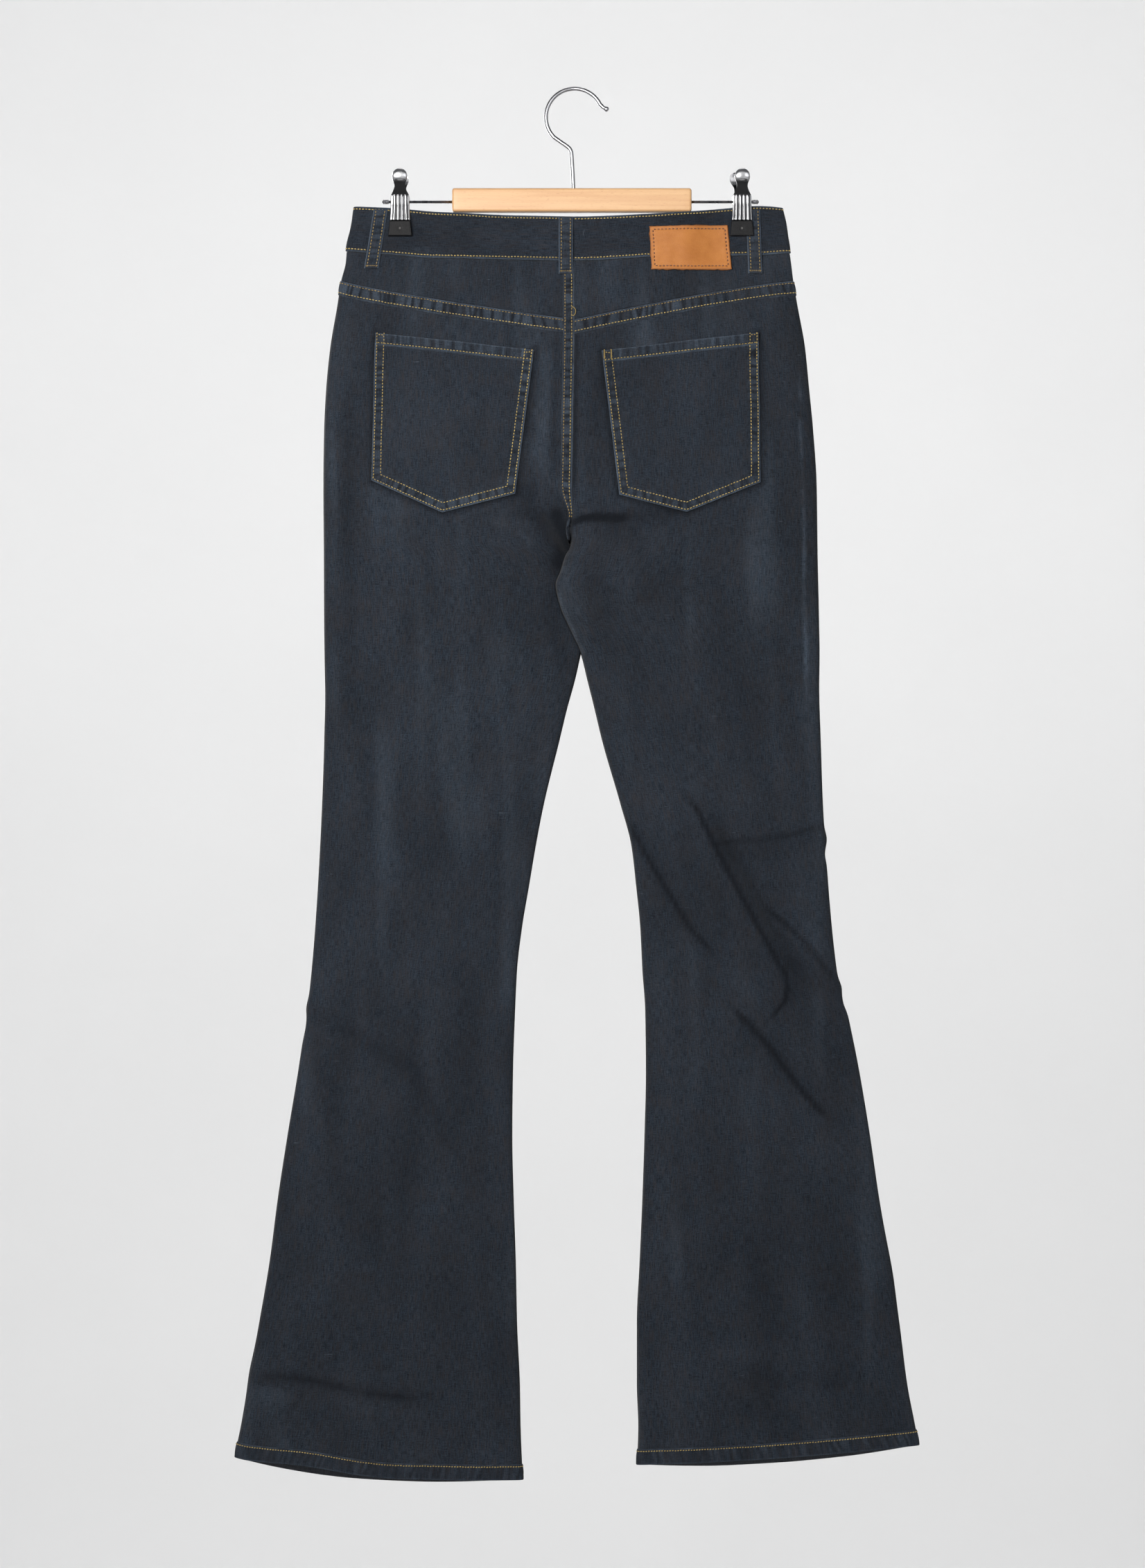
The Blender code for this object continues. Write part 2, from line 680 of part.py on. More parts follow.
def waistband_front():
    """The left front's buttoned end laps past the centre, and the right front starts there."""
    width = OUTLINE("right", BAND_MIDDLE) - CENTRE_SEAM("x", BAND_MIDDLE)
    end = 1 - BUTTON_END / width
    left = band_half("left", "front", np.array(BAND_SHARES))
    past = band_half("right", "front", np.linspace(1, end, 3))
    outer, inner = [np.concatenate([first, then[:, 1:]], axis=1) for first, then in zip(left, past)]
    slab("waistband_front_left", outer, inner, denim())
    outer, inner = band_half("right", "front", np.array(BAND_SHARES[:-1] + [end - SEAM_GAP / width]))
    slab("waistband_front_right", outer, inner, denim())


# ---------------------------------------------------------------- pieces that lie on the cloth

def between(first, second, t):
    return np.array(first) * (1 - t) + np.array(second) * t


def laid_on(name, face, x, drop, low, high, material):
    """A piece on the cloth at x and drop, from the height low to the height high above it."""
    outer = np.zeros((*x.shape, 3))
    inner = np.zeros((*x.shape, 3))
    for index in np.ndindex(x.shape):
        side = side_of(x[index])
        across = across_of(side, x[index], drop[index])[None]
        base = cloth(side, face, across, drop[index][None])[0]
        normal = outward(side, face, np.clip(across, 0.002, 0.998), drop[index][None])[0]
        outer[index] = base + normal * high[index]
        inner[index] = base + normal * low[index]
    slab(name, outer, inner, material)


def back_pocket(side):
    corner = POCKETS[side]
    low_left, low_right = np.array(corner["low_left"]), np.array(corner["low_right"])
    tip_share = (corner["tip"][0] - low_left[0]) / (low_right[0] - low_left[0])
    shares = np.concatenate([np.linspace(0, tip_share, 5), np.linspace(tip_share, 1, 5)[1:]])
    length = corner["low_left"][1] - corner["top_left"][1]
    hem = [0, POCKET_HEM / length, (POCKET_HEM + STEP) / length]
    downs = hem + [0.28, 0.48, 0.66, 0.83, 1]
    grid = np.zeros((len(downs), len(shares), 2))
    for c, share in enumerate(shares):
        top = between(corner["top_left"], corner["top_right"], share)
        if share <= tip_share:
            bottom = between(low_left, corner["tip"], share / tip_share)
        else:
            bottom = between(corner["tip"], low_right, (share - tip_share) / (1 - tip_share))
        for r, down in enumerate(downs):
            grid[r, c] = between(top, bottom, down)
    low = np.full(grid.shape[:2], POCKET_SEAT)
    high = low + POCKET_CLOTH
    high[:2] += HEM_RAISE
    laid_on(f"back_pocket_{side}", "back", grid[..., 0], grid[..., 1], low, high, denim())


def belt_loop(name, face, top_x, top_drop, low_x, low_drop, low_seat):
    rows = LOOP_PROFILE + [(0.88, None), (0.93, None), (1.0, None)]
    grid = np.zeros((len(rows), 4, 2))
    low = np.zeros(grid.shape[:2])
    for r, (share, lift) in enumerate(rows):
        middle = between((top_x, top_drop), (low_x, low_drop), share)
        for c, offset in enumerate(np.linspace(-0.5, 0.5, 4)):
            grid[r, c] = middle + np.array([offset * LOOP_WIDTH, 0])
        if lift is None:
            low[r] = low_seat
        else:
            low[r] = LOOP_SEAT + LOOP_LIFT * lift * (1 - pinch(middle[0], middle[1]))
    high = low + LOOP_CLOTH
    laid_on(name, face, grid[..., 0], grid[..., 1], low, high, denim())


def leather_patch():
    grid = np.zeros((4, 10, 2))
    for r, down in enumerate(np.linspace(0, 1, 4)):
        for c, share in enumerate(np.linspace(0, 1, 10)):
            top = between(PATCH["top_left"], PATCH["top_right"], share)
            bottom = between(PATCH["low_left"], PATCH["low_right"], share)
            grid[r, c] = between(top, bottom, down)
    low = np.full(grid.shape[:2], PATCH_SEAT)
    laid_on("leather_patch", "back", grid[..., 0], grid[..., 1], low, low + PATCH_LEATHER, leather())


def turned(name, profile, segments, centre, material):
    """A round piece about y, from a profile of radius and height that starts and ends on its axis."""
    points = [(0.0, profile[0][1], 0.0)]
    for radius, height in profile[1:-1]:
        for s in range(segments):
            angle = 2 * math.pi * s / segments
            points.append((radius * math.cos(angle), height, radius * math.sin(angle)))
    points.append((0.0, profile[-1][1], 0.0))
    rings = len(profile) - 2
    faces = []
    for s in range(segments):
        n = (s + 1) % segments
        faces.append([0, 1 + s, 1 + n])
        for ring in range(rings - 1):
            a, b = 1 + ring * segments, 1 + (ring + 1) * segments
            faces.append([a + s, b + s, b + n, a + n])
        last = 1 + (rings - 1) * segments
        faces.append([last + s, len(points) - 1, last + n])
    return mesh_object(name, np.array(points) + np.array(centre), faces, material)


def waist_button():
    side = side_of(BUTTON_X)
    top = float(band_edge("top", side, "front", 1.0))
    bottom = float(band_edge("bottom", side, "front", 1.0))
    drop = (top + bottom) / 2
    surface = cloth(side, "front", np.array([1.0]), np.array([drop]))[0]
    centre = (BUTTON_X, surface[1] + BAND_RAISE + BUTTON_SEAT, -drop)
    turned("waist_button", BUTTON_PROFILE, 20, centre, brass())


# ---------------------------------------------------------------- hanger

def wire(name, points, radius, sides_level, material):
    """A round wire through points of x, y, z and relative thickness."""
    curve = bpy.data.curves.new(name, "CURVE")
    curve.dimensions = "3D"
    curve.bevel_depth = radius * MM
    curve.bevel_resolution = sides_level
    curve.use_fill_caps = True
    spline = curve.splines.new("POLY")
    spline.points.add(len(points) - 1)
    for point, (x, y, z, thickness) in zip(spline.points, points):
        point.co = (x * MM, y * MM, z * MM, 1)
        point.radius = thickness
    return place(name, curve, material)


def bezier_through(points, steps):
    """Points on a smooth curve through the given ones."""
    points = [np.array(p, float) for p in points]
    padded = [2 * points[0] - points[1]] + points + [2 * points[-1] - points[-2]]
    result = []
    for i in range(1, len(padded) - 2):
        p0, p1, p2, p3 = padded[i - 1 : i + 3]
        for step in range(steps):
            t = step / steps
            result.append(
                0.5
                * (
                    2 * p1
                    + (p2 - p0) * t
                    + (2 * p0 - 5 * p1 + 4 * p2 - p3) * t**2
                    + (3 * p1 - p0 - 3 * p2 + p3) * t**3
                )
            )
    return result + [points[-1]]


def hanger_hook():
    centre_drop = HOOK_RADIUS - WIRE_RADIUS
    points = [(x, 0, -drop, thickness) for x, drop, thickness in HOOK_TIP]
    for angle in np.linspace(HOOK_ARC_START, HOOK_ARC_END, 30):
        turn = math.radians(angle)
        x = HOOK_RADIUS * math.cos(turn)
        points.append((x, 0, HOOK_RADIUS * math.sin(turn) - centre_drop, 1))
    last = points[-1]
    neck = [(last[0], -last[2])] + HOOK_NECK + [(STEM_X, STEM_END)]
    for x, drop in bezier_through(neck, 2)[1:]:
        points.append((x, 0, -drop, 1))
    wire("hanger_hook", points, WIRE_RADIUS, 2, steel())


def cylinder_x(name, start, end, radius, y, z, segments, material):
    points = []
    for x in (start, end):
        for s in range(segments):
            angle = 2 * math.pi * (s + 0.5) / segments
            points.append((x, y + radius * math.cos(angle), z + radius * math.sin(angle)))
    faces = [list(range(segments)), list(range(segments, 2 * segments))]
    for s in range(segments):
        n = (s + 1) % segments
        faces.append([s, n, segments + n, segments + s])
    return mesh_object(name, points, faces, material)


def cut(target, cutter):
    """Bores the target with a cutter that stays out of the render."""
    cutter.hide_render = True
    cutter.display_type = "WIRE"
    bore = target.modifiers.new("bore", "BOOLEAN")
    bore.operation = "DIFFERENCE"
    bore.solver = "EXACT"
    bore.object = cutter


def box_object(name, low, high, rounding, material):
    low, high = np.array(low), np.array(high)
    mesh = bpy.data.meshes.new(name)
    shape = bmesh.new()
    bmesh.ops.create_cube(shape, size=1.0)
    for vertex in shape.verts:
        vertex.co = [(low[i] + (high[i] - low[i]) * (vertex.co[i] + 0.5)) * MM for i in range(3)]
    if rounding:
        bmesh.ops.bevel(
            shape,
            geom=list(shape.edges),
            offset=rounding * MM,
            segments=2,
            affect="EDGES",
            profile=0.5,
        )
    shape.to_mesh(mesh)
    shape.free()
    mesh.shade_smooth()
    mesh.set_sharp_from_angle(angle=math.radians(40))
    return place(name, mesh, material)


def hanger_bar():
    bar = box_object(
        "hanger_bar",
        (BAR_LEFT, -BAR_THICK / 2, -BAR_BOTTOM),
        (BAR_RIGHT, BAR_THICK / 2, -BAR_TOP),
        BAR_ROUND,
        beech(),
    )
    start, end = BAR_LEFT - BORE_REACH, BAR_RIGHT + BORE_REACH
    rod_bore = cylinder_x("bar_rod_bore", start, end, ROD_RADIUS + FIT, 0, -ROD_DROP, 16, steel())
    tall = BAR_BOTTOM - BAR_TOP
    stem_profile = [(0, 0), (WIRE_RADIUS + FIT, 0), (WIRE_RADIUS + FIT, tall), (0, tall)]
    stem_bore = turned("bar_stem_bore", stem_profile, 16, (0, 0, 0), steel())
    stem_bore.location = (STEM_X * MM, 0, -(STEM_END + FIT) * MM)
    stem_bore.rotation_euler = (math.radians(90), 0, 0)
    cut(bar, rod_bore)
    cut(bar, stem_bore)


def hanger_rod():
    cylinder_x("hanger_rod", ROD_LEFT, ROD_RIGHT, ROD_RADIUS, 0, -ROD_DROP, 16, steel())


def lever(name, rows, facing, centre_x, lean):
    """A stamped lever: a plate with rims turned in, which form ears round the rod at its pivot."""
    points = []
    for drop, face, half, rim in rows:
        shift = lean * max(0.0, LEAN_FROM - drop) / (LEAN_FROM - HEAD_DROP)
        outline = [
            (-half, face),
            (-half, face - rim),
            (-half + PLATE, face - rim),
            (-half + PLATE, face - PLATE),
            (half - PLATE, face - PLATE),
            (half - PLATE, face - rim),
            (half, face - rim),
            (half, face),
        ]
        points += [(centre_x + shift + x, facing * y, -drop) for x, y in outline]
    sides = 8
    last = (len(rows) - 1) * sides
    faces = []
    for start in (0, last):
        faces.append([start + i for i in (0, 1, 2, 3)])
        faces.append([start + i for i in (0, 3, 4, 7)])
        faces.append([start + i for i in (4, 5, 6, 7)])
    for r in range(len(rows) - 1):
        for i in range(sides):
            n = (i + 1) % sides
            faces.append([r * sides + i, r * sides + n, (r + 1) * sides + n, (r + 1) * sides + i])
    plate = mesh_object(name, points, faces, steel())
    start, end = centre_x - BORE_REACH, centre_x + BORE_REACH
    bore = cylinder_x(name + "_bore", start, end, ROD_RADIUS + FIT, 0, -ROD_DROP, 12, steel())
    cut(plate, bore)


def pad(name, facing, centre_x, right_inner):
    pad_object = box_object(name, (-1, 0, -PAD_BOTTOM), (1, 1, -PAD_TOP), 0, rubber())
    for vertex in pad_object.data.vertices:
        at_bottom = vertex.co.z < -(PAD_TOP + PAD_BOTTOM) / 2 * MM
        half = PAD_HALF_BOTTOM if at_bottom else PAD_HALF_TOP
        inner = right_inner if vertex.co.x > 0 else PAD_INNER
        reach = PAD_OUTER if vertex.co.y > 0.5 * MM else inner
        vertex.co.x = (centre_x + math.copysign(half, vertex.co.x)) * MM
        vertex.co.y = facing * reach * MM
    shape = bmesh.new()
    shape.from_mesh(pad_object.data)
    bmesh.ops.bevel(
        shape, geom=list(shape.edges), offset=PAD_ROUND * MM, segments=1, affect="EDGES", profile=0.5
    )
    bmesh.ops.recalc_face_normals(shape, faces=shape.faces)
    shape.to_mesh(pad_object.data)
    shape.free()


def spring(name, centre_x):
    """A torsion spring round the rod, its tails pressing the two levers apart above it."""
    length = SPRING_TURNS * SPRING_PITCH
    points = [(centre_x - length / 2, -SPRING_TAIL_Y, -SPRING_TAIL_DROP, 1)]
    steps = 8 * SPRING_TURNS + 2
    for i in range(steps + 1):
        share = i / steps
        angle = math.radians(SPRING_START + share * (360 * SPRING_TURNS + SPRING_LAST_TURN))
        y = SPRING_RADIUS * math.cos(angle)
        z = SPRING_RADIUS * math.sin(angle)
        points.append((centre_x + (share - 0.5) * length, y, z - ROD_DROP, 1))
    points.append((centre_x + length / 2, SPRING_TAIL_Y, -SPRING_TAIL_DROP, 1))
    wire(name, points, SPRING_WIRE, 0, steel())


def clip(side):
    centre_x, lean = CLIPS[side]
    lever(f"clip_{side}_front_lever", FRONT_LEVER, -1, centre_x, 0.0)
    lever(f"clip_{side}_rear_lever", REAR_LEVER, 1, centre_x, lean)
    pad(f"clip_{side}_front_pad", -1, centre_x, PAD_OVER_LOOP if side == "right" else PAD_INNER)
    pad(f"clip_{side}_rear_pad", 1, centre_x, PAD_INNER)
    spring(f"clip_{side}_spring", centre_x)


# ---------------------------------------------------------------- the whole part

def main():
    for old in list(bpy.data.objects):
        bpy.data.objects.remove(old, do_unlink=True)
    hanger_hook()
    hanger_bar()
    hanger_rod()
    waistband_back()
    waistband_front()
    for side in ("left", "right"):
        clip(side)
        yoke(side)
        back_panel(side)
        front_panel(side)
        pocket_facing(side)
        back_pocket(side)
    for name, sizes in LOOPS.items():
        belt_loop(name, *sizes)
    leather_patch()
    waist_button()


main()
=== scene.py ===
"""Looks of the bootcut jeans that hang by the waistband from a wood and steel clip hanger.

Sizes are in millimetres and become metres in the meshes. x runs to the right as seen from behind,
y runs from the back of the jeans to their front, and drop is the distance below the origin, the
inner top of the hook. "left" and "right" are as seen from behind, which is also how they are worn.
The cloth has the frame's own form, and this script adds finer relief, seams, stitches and finishes.
"""

import math

import bpy
import numpy as np
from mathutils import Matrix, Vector


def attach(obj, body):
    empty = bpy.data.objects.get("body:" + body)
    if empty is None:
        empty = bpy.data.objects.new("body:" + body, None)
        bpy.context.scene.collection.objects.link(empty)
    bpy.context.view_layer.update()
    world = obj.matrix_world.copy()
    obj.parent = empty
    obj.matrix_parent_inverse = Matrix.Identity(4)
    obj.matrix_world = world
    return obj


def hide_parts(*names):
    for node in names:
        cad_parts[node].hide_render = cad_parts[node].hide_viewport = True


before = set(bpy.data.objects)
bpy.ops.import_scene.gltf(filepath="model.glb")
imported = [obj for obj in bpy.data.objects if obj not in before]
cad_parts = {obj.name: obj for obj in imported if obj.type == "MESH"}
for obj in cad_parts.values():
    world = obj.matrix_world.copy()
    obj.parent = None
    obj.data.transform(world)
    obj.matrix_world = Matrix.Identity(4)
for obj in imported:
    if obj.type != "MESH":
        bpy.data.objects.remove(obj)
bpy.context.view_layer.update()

MM = 0.001

# The cloth's sizes, as in the frame
CLOTH = 1.3
SEAM_GAP = 0.3
SEAM_LAP = 0.8
SEAM_STRIP = 9.4
YOKE_STRIP = 12.0
HEM_HEIGHT = 13.0
BAND_MIDDLE = 120.0
BAND_RAISE = 1.1
HALF_WIDTH = 200.0  # from a side seam to the centre seam, near enough for narrow strips
BAND_WALL = 1.3
FRONT_DIP = 22.0
DIP_START = 0.3
FRONT_SEAM = 0.7
BUTTON_END = 16.0
ROUNDING = 0.6
BLUNTNESS = 0.45
CROTCH = 386.0
CROTCH_BEND = 50.0
APART_FROM = 0.4  # the thighs part over this share of a half, and over less of it right below the crotch
APART_NARROW, APART_WIDENS = 0.32, 32.0
APART_EARLY, APART_EARLY_FROM = 26.0, 0.12  # away from the crotch they start to part this far above it
PARTING_START, PARTING_LONG, PARTING_AHEAD = 0.03, 120.0, 0.05  # the groove between them starts narrow
PRESSED_FACES = [("left", "back"), ("right", "front")]
PRESSED_SHARE = 0.075
POCKET_SEAT = 0.6
POCKET_CLOTH = 1.1
POCKET_HEM = 9.0
HEM_RAISE = 0.6
LOOP_WIDTH = 12.3
LOOP_CLOTH = 1.6
PATCH_SEAT = 1.5
PATCH_ROW = 3.0
PATCH_LEATHER = 1.3
SCOOP_ACROSS = 0.42
SCOOP_LAP = 0.6
SCOOP_DEEP = 86.0
SCOOP_ROUND, SCOOP_END = 2.2, 0.85
FACING_INSET = 0.3


# Clips: x where each grips, and how far its rear lever's head leans sideways
CLIPS = {"left": (-148.6, 0.0), "right": (142.6, -3.2)}
CLIP_PINCH = 1.6  # half the depth of the cloth where a clip holds it
PINCH_FLAT, PINCH_REACH = 14.0, 52.0
PINCH_FULL, PINCH_FADE = 128.0, 62.0


def smooth(at, known, values):
    """A cubic through the values that never overshoots them, level past both ends."""
    at = np.clip(at, known[0], known[-1])
    spans = np.diff(known)
    slopes = np.diff(values) / spans
    product = slopes[:-1] * slopes[1:]
    total = slopes[:-1] + slopes[1:]
    total = np.where(product > 0, total, 1.0)
    middle = np.where(product > 0, 2 * product / total, 0.0)
    tangents = np.concatenate([slopes[:1], middle, slopes[-1:]])
    index = np.clip(np.searchsorted(known, at, side="right") - 1, 0, len(spans) - 1)
    t = (at - known[index]) / spans[index]
    rise = values[index + 1] - values[index]
    return (
        values[index]
        + t * spans[index] * tangents[index] * (1 - t) ** 2
        + rise * t * t * (3 - 2 * t)
        - t * t * (1 - t) * spans[index] * tangents[index + 1]
    )


class Table:
    """Rows of sizes with named columns, read smoothly along the first one."""

    def __init__(self, columns, rows):
        self.columns = columns.split()
        self.rows = np.array(rows, float)

    def __call__(self, column, at):
        values = self.rows[:, self.columns.index(column)]
        return smooth(np.asarray(at, float), self.rows[:, 0], values)


# The outer edges of the hanging jeans and half their depth, from waist to hem
OUTLINE = Table(
    "drop left right back front",
    [
        (99, -187.4, 176.4, 8.0, 7.0),
        (113, -189.5, 179.4, 8.5, 7.5),
        (136, -194.2, 183.0, 9.5, 8.0),
        (147, -195.2, 184.6, 10.5, 8.5),
        (163, -199.2, 186.6, 12.0, 10.0),
        (184, -202.4, 190.2, 15.0, 12.0),
        (219, -208.3, 196.5, 19.0, 13.5),
        (254, -211.8, 200.0, 22.0, 14.5),
        (290, -213.6, 203.5, 24.0, 15.0),
        (337, -214.2, 206.5, 24.0, 15.5),
        (396, -213.8, 207.3, 22.0, 15.5),
        (449, -213.6, 208.3, 19.0, 15.0),
        (502, -213.2, 208.4, 17.0, 14.5),
        (555, -213.6, 210.0, 15.5, 14.0),
        (608, -215.3, 211.8, 14.0, 13.5),
        (679, -218.9, 216.5, 12.5, 12.5),
        (714, -221.2, 219.5, 12.0, 12.0),
        (750, -224.2, 223.6, 12.0, 12.0),
        (768, -226.0, 226.6, 12.0, 12.0),
        (785, -227.6, 232.2, 12.0, 12.0),
        (803, -230.7, 236.2, 12.5, 12.5),
        (838, -236.0, 243.1, 13.0, 13.0),
        (891, -244.8, 251.9, 13.5, 14.0),
        (945, -253.1, 259.8, 14.0, 14.5),
        (998, -260.0, 269.0, 14.5, 15.0),
        (1051, -269.0, 277.0, 15.0, 16.0),
        (1104, -278.5, 283.8, 16.0, 17.0),
        (1139, -284.6, 290.5, 16.5, 18.0),
        (1157, -288.2, 293.8, 17.0, 18.5),
        (1184, -291.5, 296.5, 17.0, 18.5),
    ],
)

CENTRE_SEAM = Table(
    "drop x",
    [(90, -0.6), (200, -0.6), (287, -1.8), (350, -2.9), (CROTCH, -3.8)],
)

# The inseam folds, and how far the right thigh lies behind the left one, as seen from the front
INSEAM = Table(
    "drop left right apart",
    [
        (386, -3.95, -3.65, 0.0),
        (386.7, -3.3, -4.3, 0.1),
        (391, -0.5, -5.8, 1.2),
        (396, 5.0, -8.2, 2.6),
        (410, 10.0, -12.6, 5.8),
        (422, 12.4, -16.8, 7.2),
        (440, 12.4, -13.0, 7.2),
        (460, 9.8, -4.3, 6.4),
        (481, 5.3, 5.3, 5.0),
        (502, 0.6, 10.6, 3.5),
        (528, -6.5, 17.1, 1.5),
        (555, -13.0, 23.6, 0.3),
        (608, -26.0, 38.9, 0.0),
        (644, -33.0, 48.4, 0.0),
        (679, -38.9, 52.5, 0.0),
        (714, -44.8, 56.0, 0.0),
        (750, -49.0, 57.8, 0.0),
        (785, -50.7, 60.2, 0.0),
        (838, -52.5, 60.8, 0.0),
        (891, -53.1, 59.6, 0.0),
        (945, -51.9, 57.8, 0.0),
        (998, -50.1, 55.5, 0.0),
        (1051, -49.0, 53.1, 0.0),
        (1104, -46.6, 53.1, 0.0),
        (1139, -46.0, 54.3, 0.0),
        (1184, -44.2, 52.5, 0.0),
    ],
)

# The waistband's edges as seen from behind, from its left fold to its right one
WAISTBAND = Table(
    "x top bottom",
    [
        (-196, 98.9, 136.9),
        (-159, 100.3, 139.8),
        (-103, 105.2, 144.3),
        (-1, 108.6, 146.3),
        (62, 106.3, 143.4),
        (101, 103.8, 142.2),
        (130, 100.9, 141.2),
        (160, 98.6, 140.4),
        (185, 100.3, 138.7),
    ],
)

# Back yoke seam and hems: their drop at the side seam and at the inner edge, and how they bend
YOKE_SEAM = {"left": (162.2, 197.2, 0.8), "right": (162.8, 197.4, 1.2)}
HEM = {"left": (1165.3, 1184.4, 3.0), "right": (1154.9, 1171.6, 1.9)}
FRONT_HEM_DROP = 6.0
BACK_HEM_RISE = {"left": 2.0, "right": 3.6}
# How far a back hem is lifted, where and over how much
HEM_LIFT = {"left": (4.0, 0.25, 0.17), "right": (0.0, 0.5, 0.2)}

# The largest folds: side, face, width and height of the ridge (a trough is below 0), and its line
FOLDS = [
    ("right", "back", 13, 6.4, [(93, 602), (106, 622), (124, 654), (142, 687), (164, 728), (180, 758)]),
    ("right", "back", 12, -4.0, [(110, 600), (128, 632), (148, 668), (168, 706), (186, 742)]),
    ("right", "back", 14, 4.4, [(50, 632), (60, 650), (77, 684), (100, 718), (124, 744)]),
    ("right", "back", 12, -3.2, [(40, 648), (56, 680), (78, 716), (106, 752)]),
    ("right", "back", 16, 3.0, [(118, 762), (140, 790), (168, 822), (200, 860), (222, 886)]),
    ("right", "back", 12, -2.6, [(132, 806), (156, 834), (184, 866)]),
    ("right", "back", 10, 2.4, [(210, 764), (198, 742), (184, 722)]),
    ("right", "back", 11, 2.4, [(204, 630), (170, 640), (134, 651)]),
    ("left", "back", 18, 2.4, [(-215, 790), (-185, 812), (-136, 835), (-108, 880)]),
    ("left", "back", 16, 2.2, [(-258, 1098), (-214, 1106), (-168, 1114)]),
    ("right", "back", 15, -3.0, [(8, 362), (32, 361), (62, 370), (96, 386)]),
    ("left", "back", 15, -2.6, [(-12, 362), (-40, 366), (-74, 378)]),
    ("right", "front", 14, 3.4, [(70, 610), (110, 650), (150, 700), (176, 742)]),
    ("right", "front", 14, 2.8, [(96, 730), (140, 776), (190, 830)]),
    ("left", "front", 15, 2.8, [(-180, 640), (-130, 672), (-84, 700)]),
    ("left", "front", 16, 2.4, [(-210, 780), (-150, 812), (-100, 868)]),
    ("left", "front", 12, 2.2, [(-20, 372), (-70, 356), (-124, 352)]),
    ("right", "front", 12, 2.2, [(16, 372), (64, 356), (118, 352)]),
]

# Back pockets as seen: corner, x and drop
POCKETS = {
    "left": {
        "top_left": (-169.3, 208.3),
        "top_right": (-34.2, 223.6),
        "low_right": (-50.1, 345.7),
        "tip": (-112.1, 361.7),
        "low_left": (-172.3, 333.9),
    },
    "right": {
        "top_left": (23.0, 224.2),
        "top_right": (156.3, 208.3),
        "low_right": (157.5, 335.7),
        "tip": (95.0, 361.1),
        "low_left": (37.8, 346.3),
    },
}

# Belt loops: face, x and drop of the top end, x and drop of the lower end, lift over the cloth there
LOOPS = {
    "loop_back_centre": ("back", -7.4, 109.4, -7.4, 158.1, 1.3),
    "loop_back_left": ("back", -165.2, 102.0, -173.2, 152.6, 0.5),
    "loop_back_right": ("back", 152.2, 102.0, 154.0, 156.9, 0.5),
    "loop_front_left": ("front", -92.0, 109.4, -93.0, 159.6, 0.5),
    "loop_front_right": ("front", 88.0, 108.2, 89.0, 158.4, 0.5),
}
# How a loop stands off the waistband: share of its length, and share of its full lift there
LOOP_PROFILE = [(0.0, 0.0), (0.1, 0.0), (0.24, 0.8), (0.4, 1.0), (0.56, 1.0), (0.7, 0.7), (0.8, 0.2)]
LOOP_SEAT = BAND_RAISE + 0.35
LOOP_LIFT = 1.9

PATCH = {
    "top_left": (63.4, 117.4),
    "top_right": (130.6, 115.0),
    "low_right": (134.0, 154.0),
    "low_left": (65.2, 154.6),
}


# ---------------------------------------------------------------- the cloth's form

def ease(t):
    t = np.clip(t, 0.0, 1.0)
    return t * t * (3 - 2 * t)


def inner_edge(side, drop):
    """x of a half's inner edge: the centre seam above the crotch, its inseam fold below."""
    gap = -SEAM_GAP / 2 if side == "left" else SEAM_GAP / 2
    return np.where(drop < CROTCH, CENTRE_SEAM("x", drop) + gap, INSEAM(side, drop))


def build_up(share):
    return np.sin(np.clip(share / ROUNDING, 0, 1) * math.pi / 2) ** BLUNTNESS


def pinch(x, drop):
    """1 where a clip presses the two waistbands together, 0 away from it."""
    hold = np.zeros(np.shape(x))
    for clip_x, _ in CLIPS.values():
        reach = (np.abs(x - clip_x) - PINCH_FLAT) / (PINCH_REACH - PINCH_FLAT)
        hold = np.maximum(hold, 1 - ease(reach))
    return hold * (1 - ease((drop - PINCH_FULL) / PINCH_FADE))


def along(line, x, drop):
    """Distance from each point to a fold's line, and the share of the line passed at the nearest point."""
    line = np.array(line, float)
    lengths = np.hypot(*np.diff(line, axis=0).T)
    passed = np.concatenate([[0], np.cumsum(lengths)])
    nearest = np.full(np.shape(x), np.inf)
    share = np.zeros(np.shape(x))
    for i, length in enumerate(lengths):
        run = (line[i + 1] - line[i]) / length
        t = np.clip((x - line[i][0]) * run[0] + (drop - line[i][1]) * run[1], 0, length)
        away = np.hypot(x - line[i][0] - t * run[0], drop - line[i][1] - t * run[1])
        closer = away < nearest
        nearest = np.where(closer, away, nearest)
        share = np.where(closer, (passed[i] + t) / passed[-1], share)
    return nearest, share


def fold_height(side, face, x, drop, folds=FOLDS):
    height = np.zeros(np.shape(x))
    for fold_side, fold_face, width, peak, line in folds:
        if (fold_side, fold_face) != (side, face):
            continue
        away, share = along(line, x, drop)
        ends = ease(share / 0.3) * ease((1 - share) / 0.3)
        height += peak * ends * np.exp(-((away / width) ** 2))
    return height


